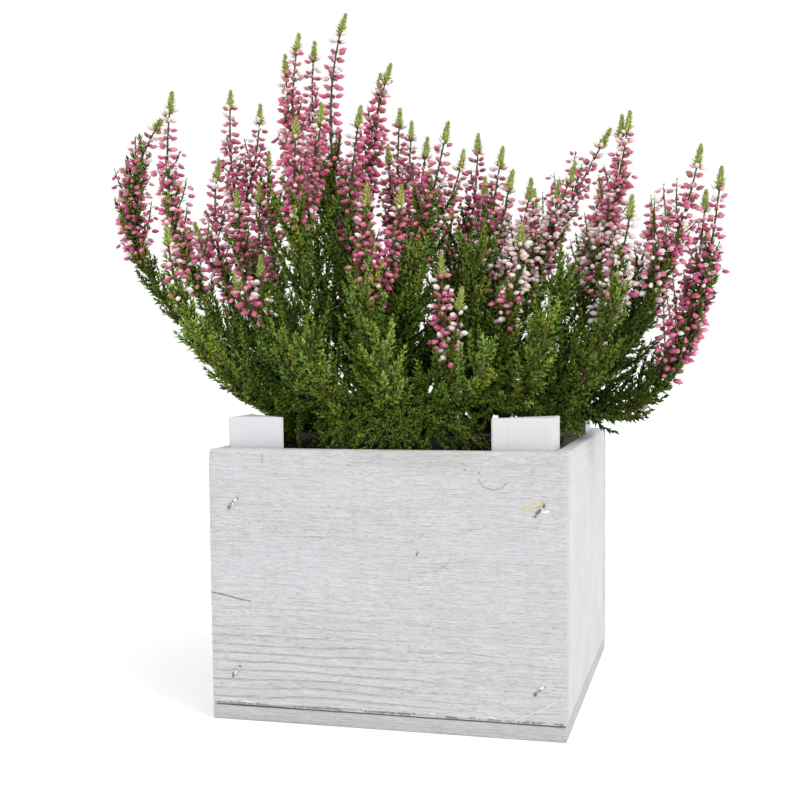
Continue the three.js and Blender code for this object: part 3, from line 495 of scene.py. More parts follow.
def add_marks(graph, colour, height):
    """The front board's cracks, knot, scratches and chips, and the foliage's painted shade under its top
    edge, as distances from short lines.
    """
    place = graph.place()
    uneven = graph.math("SUBTRACT", graph.noise(700, 4), 0.5)
    rings = ring_lines(graph, place)
    colour = graph.blend(graph.times(rings, RINGS["dark"]), colour, CRACK)
    height = graph.math("SUBTRACT", height, graph.times(rings, MARK_RELIEF))
    for path, width, strength, tint, ragged, direction in MARKS:
        spots = [(x * MM, FRONT_FACE_Y * MM, z * MM) for x, z in path]
        near = None
        for start, end in zip(spots, spots[1:]):
            distance = graph.distance(place, start, end)
            near = distance if near is None else graph.math("MINIMUM", near, distance)
        near = graph.math("ADD", near, graph.times(uneven, ragged * MM))
        shade = graph.ramp(near, width * MM * 0.3, width * MM, strength, 0.0)
        colour = graph.blend(shade, colour, tint)
        height = graph.math(direction, height, graph.times(shade, MARK_RELIEF))
    return colour, height


def paint_material(name, grain, light, streaks, marks=False):
    """White paint over sawn wood: the grain runs along one axis and shows as much as `streaks` says, in
    relief and as painted shade and highlight in its colour.
    """

    def drawn(share):
        """The scale of a noise that is drawn out along the grain."""
        return tuple(share if axis == grain else 1.0 for axis in "XYZ")

    graph = Graph("white_paint_" + name, 0.62, IOR=1.45)
    fine = graph.noise(860, 2, drawn(0.09))
    long = graph.noise(560, 3, drawn(0.035), (3.1, 1.7, 0.4))
    torn = graph.noise(1500, 3, drawn(0.25), (0.7, 0.1, 2.2))
    mottle = graph.noise(34, 5, offset=(0.3, 0.2, 0.9))
    hue = graph.noise(20, 3, offset=(5.2, 3.3, 1.1))
    worn = graph.ramp(graph.noise(70, 3, drawn(0.09), (1.3, 4.1, 2.6)), 0.36, 0.64, 0.6, 1.0)
    dull, dark, bright, line = (tinted((1, 1, 1), part * light) for part in (0.93, 0.8, 1.2, 0.62))
    colour = graph.blend(graph.ramp(hue, 0.35, 0.65), tinted(WARM_WHITE, light), tinted(LILAC, light))
    colour = graph.blend(graph.ramp(mottle, 0.3, 0.7, 0.0, 0.5), colour, tinted(LILAC, dull[0]))
    # Painted shade where the grain lies low and painted highlight where it stands proud, following the
    # bump.
    colour = graph.blend(graph.ramp(fine, 0.35, 0.65, 0.15 * streaks, 0.0), colour, dark)
    colour = graph.blend(graph.ramp(fine, 0.58, 0.72, 0.0, 0.2 * streaks), colour, bright)
    # Dark grain lines: partly the grain's own colour, partly painted shade of its grooves.
    for lines, strength in (
        (grain_lines(graph, fine, 0.05), 0.45),
        (grain_lines(graph, long, 0.04), 0.5),
        (graph.ramp(torn, 0.33, 0.41, 1.0, 0.0), 0.8),
    ):
        colour = graph.blend(graph.times(graph.times(lines, worn), strength * streaks), colour, line)
    height = graph.math("ADD", graph.times(fine, 0.7), graph.times(torn, 0.3))
    if marks:
        colour, height = add_marks(graph, colour, height)
    rough = graph.ramp(mottle, 0.3, 0.7, 0.52, 0.74)
    return graph.finish(colour, height, GRAIN_RELIEF * streaks * MM, Roughness=rough)


def make_materials():
    made = {
        "leaf": plant_material("heather_leaf", 0.65, 0.2, 420, 0.05, Specular_IOR_Level=0.15),
        "stem": plant_material("heather_stem", 0.8, 0.25, 700, 0.15, Specular_IOR_Level=0.15),
        "paint_front": paint_material("front", "X", *PAINT["front"], marks=True),
    }
    soft = {"Subsurface_Weight": 0.12, "Subsurface_Scale": MM}
    made["petal"] = plant_material("heather_bud", 0.42, 0.10, 700, 0.03, **soft)
    # Lighter and darker copies of the same white paint, as painted light and shade.
    for grain in "XYZ":
        made["paint_" + grain] = paint_material(grain, grain, *PAINT[grain])

    graph = Graph("black_plastic", 0.42)
    dust = graph.ramp(graph.noise(90, 5), 0.45, 0.75, 0.0, 0.35)
    colour = graph.blend(dust, (0.012, 0.012, 0.013), (0.075, 0.062, 0.050))
    rough = graph.ramp(dust, 0.0, 0.35, 0.36, 0.7)
    made["plastic"] = graph.finish(colour, graph.noise(1500, 3), 0.02 * MM, Roughness=rough)

    graph = Graph("peat", 0.95)
    clods, fibres = graph.noise(330, 6), graph.noise(900, 4, (1, 1, 0.3))
    colour = graph.blend(graph.ramp(clods, 0.35, 0.65), (0.010, 0.006, 0.004), (0.045, 0.027, 0.016))
    colour = graph.blend(graph.ramp(fibres, 0.62, 0.72, 0.0, 0.7), colour, (0.12, 0.078, 0.045))
    made["peat"] = graph.finish(colour, clods, 0.8 * MM)

    graph = Graph("staple_wire", 0.5)
    cover = graph.ramp(graph.noise(420, 4), 0.42, 0.58)  # paint, with bare and darker wire between
    colour = graph.blend(cover, (0.19, 0.17, 0.15), (0.72, 0.71, 0.70))
    metal = graph.ramp(cover, 0.0, 1.0, 0.85, 0.0)
    made["steel"] = graph.finish(colour, graph.noise(1200, 4), 0.1 * MM, Metallic=metal)

    graph = Graph("pale_floor", 0.9, Emission_Color=(1, 1, 1, 1), Emission_Strength=0.06)
    light = graph.ramp(graph.noise(3, 3), 0.3, 0.7)
    made["floor"] = graph.finish(graph.blend(light, (0.95, 0.95, 0.95), (0.97, 0.97, 0.97)))
    return made


# ---------------------------------------------------------------- crate
def box_surface(spots):
    """A closed box of quads over the given coordinates along each axis."""
    counts = [len(along) for along in spots]
    quads = []
    for axis, u, v in ((0, 1, 2), (1, 2, 0), (2, 0, 1)):
        in_u, in_v = grid(counts[u] - 1, counts[v] - 1)
        for level, outward in ((0, False), (counts[axis] - 1, True)):
            corners = []
            for du, dv in ((0, 0), (1, 0), (1, 1), (0, 1)):
                index = {axis: np.full(in_u.size, level), u: in_u + du, v: in_v + dv}
                corners.append((index[0] * counts[1] + index[1]) * counts[2] + index[2])
            quads.append(np.stack(corners if outward else corners[::-1], 1))
    keys, faces = np.unique(np.concatenate(quads), return_inverse=True)
    places = (keys // (counts[1] * counts[2]), keys // counts[2] % counts[1], keys % counts[2])
    return np.stack([along[place] for along, place in zip(spots, places)], 1), faces.reshape(-1, 4)


def edge_spots(low, high, step, radius):
    """Even coordinates from low to high, closer together where the edges are rounded."""
    corner = radius * (1 - np.cos(np.linspace(0, math.pi / 2, 4)))[:-1]
    count = max(2, int(round((high - low - 2 * radius) / step)) + 1)
    middle = np.linspace(low + radius, high - radius, count)
    return np.concatenate([low + corner, middle, high - corner[::-1]])


def sawn_relief(along, across, seed, rough, rings):
    """Height of sawn, raised grain in metres: fine ridges, torn fibres and broad growth rings."""

    def waves(order, length, width):
        return noise(along / (length * MM), across / (width * MM), seed + order)

    ridges = 0.5 * waves(0, 26, 1.15) + 0.35 * waves(1, 9, 0.8)
    torn = waves(2, 3.2, 1.3) * smoothstep(0.0, 0.7, waves(3, 30, 24))
    warp = 2.2 * MM * waves(4, 60, 30)
    broad = np.sin(2 * math.pi * (across + warp) / (3.4 * MM))
    grain = rough * (0.10 * ridges + 0.09 * torn) * MM
    return grain + rings * 0.09 * MM * broad + 0.08 * MM * waves(5, 45, 28)


def sawn_board(node, grain, material, seed, steps, rough=1.0, top="top", ring_share=None):
    """A sawn board in its CAD node's box, with rounded arrises and raised grain.

    steps: the size of its faces along the grain and across it.
    """
    low, high = (np.array(corner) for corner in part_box(node))
    radius, top_radius, proud = (BOARD[key] * MM for key in ("round", top, "proud"))
    spots = []
    for axis, start, end in zip("XYZ", low, high):
        step = steps[0 if axis == grain else 1] * MM
        spots.append(edge_spots(start, end, min(step, (end - start) / 3), radius))
    points, faces = box_surface(spots)
    rounding = np.where(points[:, 2] > high[2] - 2.5 * top_radius, top_radius, radius)[:, None]
    inner = np.clip(points, low + rounding, high - rounding)
    outward = unit(points - inner)
    along = "XYZ".index(grain)
    across = np.delete(points, along, 1).sum(1)
    rings = ring_share(points) if ring_share else BOARD["rings"]
    relief = sawn_relief(points[:, along], across, seed, rough, rings)
    shaped = inner + outward * (rounding + np.minimum(relief, proud)[:, None] - proud)
    settle(mesh_object("painted_" + node, shaped, [faces], [material]), "white_paint", node)


def lower_left(points):
    """Where the front board's broad growth rings show: strongest low down and to the left."""
    return 0.25 + 0.75 * smoothstep(0.055, -0.06, points[:, 0]) * smoothstep(0.075, 0.035, points[:, 2])


def post_outline(low, high, side, end):
    """Points round a post's blunted triangle in plan, and their outward directions."""
    outer = np.array([high[0] if side > 0 else low[0], high[1] if end > 0 else low[1]])
    leg, blunt = high[0] - low[0], POST["blunt"] * MM
    inward = ((0, 0), (leg, 0), (leg, blunt), (blunt, leg), (0, leg))
    corners = [outer + (-side * x, -end * y) for x, y in inward]
    if side * end < 0:
        corners = corners[::-1]
    outline = []
    for start, stop in zip(corners, corners[1:] + corners[:1]):
        count = max(2, int(round(np.linalg.norm(stop - start) / (POST_FACES["across"] * MM))))
        even = np.linspace(0, 1, count + 1)[:-1]
        ease = 0.5 - 0.5 * np.cos(math.pi * even)
        outline.append(start + (stop - start) * mix(even, ease, POST_FACES["ease"])[:, None])
    outline = np.concatenate(outline)
    onward = unit(np.roll(outline, -1, 0) - np.roll(outline, 1, 0))
    outward = np.stack([onward[:, 1], -onward[:, 0]], 1)
    if np.sum(outward * (outline - outline.mean(0))) < 0:
        return outline[::-1], -outward[::-1]
    return outline, outward


def corner_post(node, side, end, material, seed):
    """A triangular post in its CAD node's box, its long face turned to the inside of the crate."""
    low, high = (np.array(corner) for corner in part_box(node))
    outline, outward = post_outline(low, high, side, end)
    sides, radius = len(outline), POST["round"] * MM
    levels = edge_spots(low[2], high[2], POST_FACES["up"] * MM, radius)
    past = np.maximum(0, np.maximum(levels - (high[2] - radius), low[2] + radius - levels))
    inset = radius - np.sqrt(np.maximum(radius**2 - past**2, 0))
    run = np.arange(sides) * POST_FACES["across"] * MM
    relief = sawn_relief(levels[:, None], run[None, :], seed, POST["rough"], POST["rings"])
    rings = outline[None] + outward[None] * (relief - POST["sunk"] * MM - inset[:, None])[..., None]
    rings = np.dstack([rings, np.broadcast_to(levels[:, None], rings.shape[:2])])
    centre = outline.mean(0)
    points = np.concatenate([rings.reshape(-1, 3), [(*centre, low[2])], [(*centre, high[2])]])
    faces = [ring_walls(len(levels), sides), closed_ends(points, len(levels), sides)]
    settle(mesh_object("painted_" + node, points, faces, [material]), "white_paint", node)


def closed_ends(points, rings, sides):
    """Triangles that close both ends of a stack of rings with the last two points."""
    low = fan(0, sides, len(points) - 2, flip=True)
    return np.concatenate([low, fan((rings - 1) * sides, sides, len(points) - 1)])


def make_crate(materials):
    sawn_board("front_board", "X", materials["paint_front"], 11, (3.0, 0.75), ring_share=lower_left)
    sawn_board("back_board", "X", materials["paint_X"], 23, (6.0, 2.3))
    sawn_board("base_board", "X", materials["paint_X"], 37, (5.0, 3.2), top="base_top")
    for side in ("left", "right"):
        sawn_board(side + "_board", "Y", materials["paint_Y"], 41 + len(side), (7.0, 2.6), 0.45)
    for end, forward in (("front", -1), ("back", 1)):
        for side, across in (("left", -1), ("right", 1)):
            seed = 61 + 7 * forward + across
            corner_post(f"corner_post_{end}_{side}", across, forward, materials["paint_Z"], seed)
    for node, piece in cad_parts.items():
        if node.startswith("staple_"):
            piece.data.materials.clear()
            piece.data.materials.append(materials["steel"])


# ---------------------------------------------------------------- pot and soil
def pot_profile(foot, top, rim):
    """The pot's (radius, height) from the floor's middle out, up, over the rim and back inside."""
    wall, floor, roll = POT["wall"], POT["floor"], POT["roll"]
    neck = top - POT["lip"]
    over_rim = np.linspace(0, math.pi, 9)

    def outer(z):
        return floor + (POT["mouth"] - floor) * (z - foot) / (neck - foot)

    return [
        *((0, foot + 1.5), (floor - 9, foot + 1.5), (floor - 7, foot)),
        *((floor - 1.2, foot), (floor, foot + 1.2)),
        *((outer(z), z) for z in np.linspace(foot + 4, neck - 22, 12)),
        *((outer(neck - 21) + 0.8, neck - 21), (outer(neck), neck)),
        *((rim - 0.6, neck + 0.5), (rim - 0.1, neck + 1.6)),
        *((rim - roll + roll * math.cos(turn), top - roll + roll * math.sin(turn)) for turn in over_rim),
        *((rim - 2.3, top - 2.5), (outer(neck) - wall, neck - wall)),
        *((outer(z) - wall, z) for z in np.linspace(neck - 10, foot + 5, 10)),
        *((floor - 1.6, foot + 2.8), (0, foot + 2.8)),
    ]


def make_pot(materials):
    """The nursery pot: a thin tapered wall with two steps, a rolled rim and drain holes in its floor."""
    low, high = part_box("nursery_pot")
    foot = low.z / MM
    profile = np.array(pot_profile(foot, high.z / MM, high.x / MM)) * MM
    sides, wall = POT["sides"], profile[1:-1, :, None]
    turns = circle(sides)
    rings = np.stack([wall[:, 0] * np.cos(turns), wall[:, 0] * np.sin(turns), wall[:, 1] + 0 * turns], -1)
    points = np.concatenate([rings.reshape(-1, 3), [(0, 0, profile[0, 1])], [(0, 0, profile[-1, 1])]])
    faces = [ring_walls(len(wall), sides), closed_ends(points, len(wall), sides)]
    pot = mesh_object("black_nursery_pot", points, faces, [materials["plastic"]])
    holes = Parts()
    for turn in circle(DRAIN_HOLES["count"]) + math.pi / DRAIN_HOLES["count"]:
        spot = (DRAIN_HOLES["from_axis"] * math.cos(turn), DRAIN_HOLES["from_axis"] * math.sin(turn))
        drill = np.array([(*spot, foot - 1), (*spot, foot + 4)]) * MM
        holes.add(*tube(drill, np.full(2, DRAIN_HOLES["radius"] * MM), DRAIN_HOLES["sides"]), (0, 0, 0))
    cutter = holes.make("drain_cutter", [])
    cut = pot.modifiers.new("drain_holes", "BOOLEAN")
    cut.object = cutter
    cut.operation = "DIFFERENCE"
    drilled = bpy.data.meshes.new_from_object(pot.evaluated_get(bpy.context.evaluated_depsgraph_get()))
    pot.modifiers.clear()
    pot.data = drilled
    bpy.data.objects.remove(cutter)
    settle(pot, "black_plastic", "nursery_pot")


def make_soil(materials):
    """Crumbly peat: a rough surface over a plain block, with loose crumbs and bits of bark on it."""
    low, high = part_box("soil")
    radius, sides, rings = high.x - PEAT["margin"] * MM, PEAT["sides"], PEAT["rings"]
    spans = np.linspace(0, 1, rings + 1)[1:] * radius
    turns = circle(sides)
    x, y = spans[:, None] * np.cos(turns), spans[:, None] * np.sin(turns)
    lumps = 0
    for height, width, seed in ((1.3, 13, 3), (0.9, 5, 5), (0.6, 2.2, 8)):
        lumps = lumps + height * noise(x / (width * MM), y / (width * MM), seed)
    tops = np.stack([x, y, SOIL_TOP * MM + PEAT["lumps"] * MM * lumps], -1).reshape(-1, 3)
    foot = PEAT["foot"] * MM
    skirt = np.stack([foot * np.cos(turns), foot * np.sin(turns), np.full(sides, low.z)], -1)
    points = np.concatenate([tops, skirt, [(0, 0, SOIL_TOP * MM)], [(0, 0, low.z)]])
    ends = [fan(0, sides, len(points) - 2), fan(rings * sides, sides, len(points) - 1, flip=True)]
    faces = [ring_walls(rings + 1, sides)[:, [0, 3, 2, 1]], np.concatenate(ends)]
    settle(mesh_object("peat_block", points, faces, [materials["peat"]]), "peat", "soil")

    draw = np.random.default_rng(77)
    count = PEAT["crumbs"]
    span, turn = radius * np.sqrt(draw.random(count)) * 0.97, draw.random(count) * 2 * math.pi
    centres = np.stack([span * np.cos(turn), span * np.sin(turn), np.full(count, SOIL_TOP * MM)], 1)
    centres[:, 2] += (0.2 + 1.0 * draw.random(count)) * MM
    golden = (1 + math.sqrt(5)) / 2
    pairs = [(short, long) for long in (golden, -golden) for short in (-1, 1)]
    corners = [(a, b, 0) for a, b in pairs] + [(0, a, b) for a, b in pairs] + [(b, 0, a) for a, b in pairs]
    faces = [(0, 11, 5), (0, 5, 1), (0, 1, 7), (0, 7, 10), (0, 10, 11), (1, 5, 9), (5, 11, 4), (11, 10, 2),
             (10, 7, 6), (7, 1, 8), (3, 9, 4), (3, 4, 2), (3, 2, 6), (3, 6, 8), (3, 8, 9), (4, 9, 5),
             (2, 4, 11), (6, 2, 10), (8, 6, 7), (9, 8, 1)]
    crumbs = Parts()
    for centre in centres:
        size = draw.uniform(0.4, 1.5, 3) * MM * (1 + 1.2 * (draw.random() > 0.93))
        lump = unit(np.array(corners)) * (1 + 0.35 * draw.uniform(-1, 1, (12, 1))) * size
        crumbs.add(centre + lump, faces, (0, 0, 0))
    settle(crumbs.make("loose_peat_crumbs", [materials["peat"]]), "peat", "soil")


# ---------------------------------------------------------------- heather: curves and growth
class Curve:
    """A quadratic curve from start round elbow to tip, in metres, read by the length along it."""

    def __init__(self, start, elbow, tip):
        self.start, self.elbow, self.tip = (np.array(place, float) for place in (start, elbow, tip))
        self.shares = np.linspace(0, 1, 201)
        steps = np.linalg.norm(np.diff(self.spot(self.shares), axis=0), axis=1)
        self.lengths = np.concatenate([[0], np.cumsum(steps)])
        self.length = self.lengths[-1]

    def spot(self, share):
        share = np.asarray(share)[..., None]
        return (1 - share) ** 2 * self.start + 2 * share * (1 - share) * self.elbow + share**2 * self.tip

    def at(self, along):
        """Places and directions at the lengths along the curve; before its start it runs straight on."""
        along = np.asarray(along, float)
        share = np.interp(along, self.lengths, self.shares)
        pull = 2 * (1 - share)[..., None] * (self.elbow - self.start)
        heading = unit(pull + 2 * share[..., None] * (self.tip - self.elbow))
        return self.spot(share) + heading * np.minimum(along, 0)[..., None], heading


class Sprays:
    """Many short shoots at once: each starts at a root and bends from its first heading to its last."""

    def __init__(self, roots, first, last, lengths, tints):
        tips = roots + lengths[:, None] * 0.5 * (first + last)
        free = tips[:, 2] > holder_height(tips[:, 0], tips[:, 1])
        self.roots, self.first, self.last = roots[free], first[free], last[free]
        self.lengths, self.tints = lengths[free], tints[free]

    def at(self, index, along):
        share = (along / self.lengths[index])[:, None]
        first, last = self.first[index], self.last[index]
        place = self.roots[index] + along[:, None] * (first + 0.5 * share * (last - first))
        return place, unit(first + share * (last - first))

    def spots(self, pitch, start, end, draw):
        """Spots every `pitch` between two shares of the lengths: which spray, how far and which one."""
        counts = np.maximum(1, ((end - start) * self.lengths / pitch).astype(int))
        index = np.repeat(np.arange(len(counts)), counts)
        order = np.arange(len(index)) - np.repeat(np.cumsum(counts) - counts, counts)
        along = (start + (end - start) * (order + 0.5) / counts[index]) * self.lengths[index]
        return index, along + draw.uniform(-0.2, 0.2, len(index)) * pitch, order


def holder_height(x, y):
    """Height of what holds the plant below a place: a post, the pot's rim, a wall, the soil or nothing."""
    x, y, span = np.abs(x) / MM, np.abs(y) / MM, np.hypot(x, y) / MM
    inside = (x < HOLDERS["crate"][0]) & (y < HOLDERS["crate"][1])
    on_post = inside & (x > HOLDERS["post"][0]) & (y > HOLDERS["post"][1])
    on_wall = inside & ((x > HOLDERS["wall"][0]) | (y > HOLDERS["wall"][1]))
    on_rim = (span > HOLDERS["rim"][0]) & (span < HOLDERS["rim"][1])
    return np.select([on_post, on_rim, on_wall, span < HOLDERS["soil"]], HOLDER_TOPS, 0) * MM


def around(headings, turns):
    """Unit vectors across the headings, turned about them."""
    reference = np.where(np.abs(headings[:, 2:]) < 0.9, [[0, 0, 1.0]], [[0, 1.0, 0]])
    across = unit(np.cross(headings, reference))
    out = np.cross(across, headings)
    return np.cos(turns)[:, None] * across + np.sin(turns)[:, None] * out


def sprout(places, headings, turns, lengths, habit, tints, draw):
    """Sprays that leave the places at the habit's lean and rise towards the light."""
    count = len(places)
    lean = habit["lean"] * (1 + draw.uniform(-0.2, 0.2, count))[:, None]
    first = np.cos(lean) * headings + np.sin(lean) * around(headings, turns)
    first = unit(first + draw.normal(0, STRAY["shoot"], (count, 3)))
    last = unit(first + habit["rise"] * (headings + np.array([0, 0, 1.1])) * 0.7)
    return Sprays(places, first, last, lengths, tints)


# A scale leaf as root, left, right and tip: its length, half width and height over its keel.
LEAF_SHAPE = np.array([(0, 0, 0), (0.42, -0.5, 0.36), (0.42, 0.5, 0.36), (1, 0, 0.1)])
LEAF_FACES = [(0, 2, 1), (3, 1, 2), (0, 1, 3), (0, 3, 2)]
# Painted light on each leaf's corners: shade at its root, a highlight at its tip.
LEAF_PAINTED_LIGHT = np.array([0.6, 1.0, 1.0, 1.65])


def add_leaves(parts, places, headings, radials, lengths, widths, leans, tints, draw):
    """Scale leaves: pointed, keeled forms that lean out from their stem."""
    leans = np.broadcast_to(leans, len(places))[:, None]
    along = np.cos(leans) * headings + np.sin(leans) * radials
    along = unit(along + draw.normal(0, STRAY["leaf"], places.shape))
    side = unit(np.cross(along, radials))
    up = np.cross(along, side)
    onward, aside, keel = (LEAF_SHAPE[None, :, axis, None] for axis in range(3))
    points = places[:, None] + lengths[:, None, None] * onward * along[:, None]
    points = points + widths[:, None, None] * (aside * side[:, None] + keel * up[:, None])
    parts.add_copies(points, LEAF_FACES, (tints[:, None] * LEAF_PAINTED_LIGHT[None, :, None]).reshape(-1, 3))


def dress_sprays(parts, sprays, habit, draw, leaf=LEAF):
    """A slim core for each spray, and its scale leaves in four ranks."""
    index, along, order = sprays.spots(leaf["pitch"] * MM, leaf["first"], 1.0, draw)
    places, headings = sprays.at(index, along)
    share = along / sprays.lengths[index]
    own_turn = sprays.lengths[index] * 4e4  # as good as random, and the same along one spray
    for pair in (0, 1):
        radials = around(headings, order * math.pi / 2 + pair * math.pi + own_turn)
        size = 1 - 0.45 * share**3 + draw.uniform(-0.15, 0.15, len(index))
        lean = leaf["lean"] * (1 - 0.5 * share**2)
        tints = sprays.tints[index] * (0.85 + 0.4 * share)[:, None]
        tints = tints * draw.uniform(*TINTS["shoot"], (len(index), 1))
        length, width = leaf["length"] * MM * size, leaf["width"] * MM * size
        add_leaves(parts, places, headings, radials, length, width, lean, tints, draw)
    bands, corners = habit["bands"], 3
    every = np.arange(len(sprays.lengths))
    rings = []
    for share in np.arange(bands + 1) / bands:
        middle, heading = sprays.at(every, share * 0.97 * sprays.lengths)
        for turn in circle(corners):
            radial = around(heading, np.full(len(every), turn))
            rings.append(middle + radial * habit["core"] * MM * (1 - 0.6 * share))
    points = np.stack(rings, 1)
    walls = ring_walls(bands + 1, corners)[:, [[0, 1, 3], [1, 2, 3]]].reshape(-1, 3)
    top = bands * corners
    faces = np.concatenate([walls, [(2, 1, 0), (top, top + 1, top + 2)]])
    tints = np.repeat(tint_mix(sprays.tints, WOOD_STEM, 0.5), points.shape[1], 0)
    parts.add_copies(points, faces, tints, 1)


def foliage_tints(brightness, draw):
    """Foliage colours from deep to fresh, lit green, by a lightness that carries painted light and shade,
    with a hue of its own for each shoot.
    """
    brightness = np.clip(brightness + draw.normal(0, BRIGHT["scatter"], len(brightness)), 0, 1)
    low = tint_mix(DEEP_GREEN, MID_GREEN, np.minimum(2 * brightness, 1))
    greens = low + (np.array(FRESH_AND_LIT_GREEN) - MID_GREEN) * np.maximum(2 * brightness - 1, 0)[:, None]
    return greens * tint_mix(WARM_GREEN, COOL_GREEN, draw.random(len(brightness)))


def grown(curve, start, end, habit, bright, turn, draw, sparse, full):
    """Sprays that leave a stem all round, between two lengths along it."""
    count = max(1, int((end - start) / (sparse * habit["pitch"] * MM)))
    along = start + (end - start) * (np.arange(count) + draw.random(count)) / count
    places, headings = curve.at(along)
    share = (along - start) / (end - start)
    lengths = mix(habit["longest"], habit["shortest"], share) * MM * draw.uniform(*SIZES["shoot"], count)
    spans = np.hypot(places[:, 0], places[:, 1]) / MM
    lengths *= mix(1, habit["outer"], smoothstep(*OUTER, spans)) * mix(1, full, share)
    turns = turn + np.arange(count) * GOLDEN_ANGLE
    upward = smoothstep(*UNDERSIDE["directions"], around(headings, turns)[:, 2])
    lengths *= 1 - (1 - UNDERSIDE["length"]) * (1 - upward) * smoothstep(*UNDERSIDE["spans"], spans)
    tints = foliage_tints(bright + BRIGHT["tips"] * share, draw)
    return sprout(places, headings, turns, lengths, habit, tints, draw)


def hanging(curve, bright, draw):
    """Low sprays that arch outward over the pot's rim and hang in the gap between pot and crate."""
    pitch = SKIRT["pitch"] * MM
    along = np.arange(0, curve.length, pitch)
    places, _ = curve.at(along + draw.uniform(0, pitch, len(along)))
    spans = np.hypot(places[:, 0], places[:, 1]) / MM
    near = (spans > SKIRT_ROOTS["nearest"]) & (spans < SKIRT_ROOTS["farthest"])
    places = places[near & (places[:, 2] < SKIRT_ROOTS["highest"] * MM)]
    count = len(places)
    turns = np.arctan2(places[:, 1], places[:, 0]) + SKIRT["stray"] * draw.normal(0, 1, count)
    level = np.stack([np.cos(turns), np.sin(turns), np.zeros(count)], 1)
    tips = level * draw.uniform(SKIRT_TIPS["nearest"], SKIRT_TIPS["farthest"], (count, 1)) * MM
    tips[:, 1] = np.maximum(tips[:, 1], -SKIRT_TIPS["inside"] * MM)
    ground = holder_height(tips[:, 0], tips[:, 1]) + SKIRT_TIPS["clear"] * MM
    tips[:, 2] = np.maximum(draw.uniform(SKIRT_TIPS["low"], SKIRT_TIPS["high"], count) * MM, ground)
    lengths = SKIRT["arch"] * np.linalg.norm(tips - places, axis=1)
    first = unit(level + [0, 0, SKIRT["lift"]])
    last = 2 * (tips - places) / lengths[:, None] - first
    tints = foliage_tints(np.full(count, bright - SKIRT["darker"]), draw)
    return Sprays(places, first, last, lengths, tints)


def plumes(parts, shoots, habit, draw, leaf=LEAF):
    """Side shoots with their leaves and, all along them, small leafy sprigs with lighter tips."""
    dress_sprays(parts, shoots, habit, draw, leaf)
    index, along, order = shoots.spots(SPRIG["pitch"] * MM, 0.12, 0.95, draw)
    places, headings = shoots.at(index, along)
    share = along / shoots.lengths[index]
    lengths = mix(SPRIG["longest"], SPRIG["shortest"], share) * MM
    lengths *= draw.uniform(*SIZES["sprig"], len(index))
    turns = order * GOLDEN_ANGLE + index * 1.7
    tints = shoots.tints[index] * (draw.uniform(*TINTS["sprig"], len(index)) + 0.4 * share)[:, None]
    sprigs = sprout(places, headings, turns, lengths, SPRIG, tints, draw)
    dress_sprays(parts, sprigs, SPRIG, draw, SPRIG_LEAF)


def leafy_reach(curve, leaf_end, flowers, share):
    """How far along a shoot its leafy sprigs grow: a share of its spike, or up to the foliage's height."""
    if share:
        return leaf_end + share * flowers * MM
    aside = smoothstep(LEAFY_TOP["from"], LEAFY_TOP["to"], abs(curve.tip[0]) / MM)
    top = mix(LEAFY_TOP["middle"], LEAFY_TOP["sides"], aside) * MM
    rising = curve.lengths[np.searchsorted(curve.spot(curve.shares)[:, 2], top).clip(0, 200)]
    return min(max(rising, leaf_end), leaf_end + LEAFY_BUDS * flowers * MM)


def leafy_growth(parts, curve, leaf_end, flowers, more, draw):
    """All that grows on a leafy stem: plumes, darker shoots between them, and hanging ones in front."""
    y = curve.tip[1] / MM
    # Painted light and shade: foliage lighter in front and on the left, darker deep inside the bush.
    depth = min(y, BRIGHT["turn"] - y)
    bright = BRIGHT["middle"] - BRIGHT["depth"] * depth - BRIGHT["right"] * curve.tip[0] / MM
    start, end = 5 * MM, leafy_reach(curve, leaf_end, flowers, more.get("leafy"))
    shoots_end = max(leaf_end, end - RISE * MM)
    full, sparse = more.get("full", 1), SPARSE["pitch"] if y > SPARSE["from"] else 1.0
    shoots = grown(curve, start, shoots_end, SIDE_SHOOT, bright, draw.random(), draw, sparse, full)
    plumes(parts, shoots, SIDE_SHOOT, draw)
    # Inner shoots, darker as painted shade.
    for habit, last in ((FILL, shoots_end), (STEM_SPRIG, end)):
        shoots = grown(curve, start, last, habit, bright - habit["darker"], last, draw, 1.0, full)
        dress_sprays(parts, shoots, habit, draw, INNER_LEAF)
    if y < HANGING_FROM:
        plumes(parts, hanging(curve, bright, draw), SKIRT, draw, HANGING_LEAF)


BUD_SHAPE = [(0.0, 0.0), (0.2, 0.82), (0.62, 0.94), (1.0, 0.0)]  # share of length, of radius


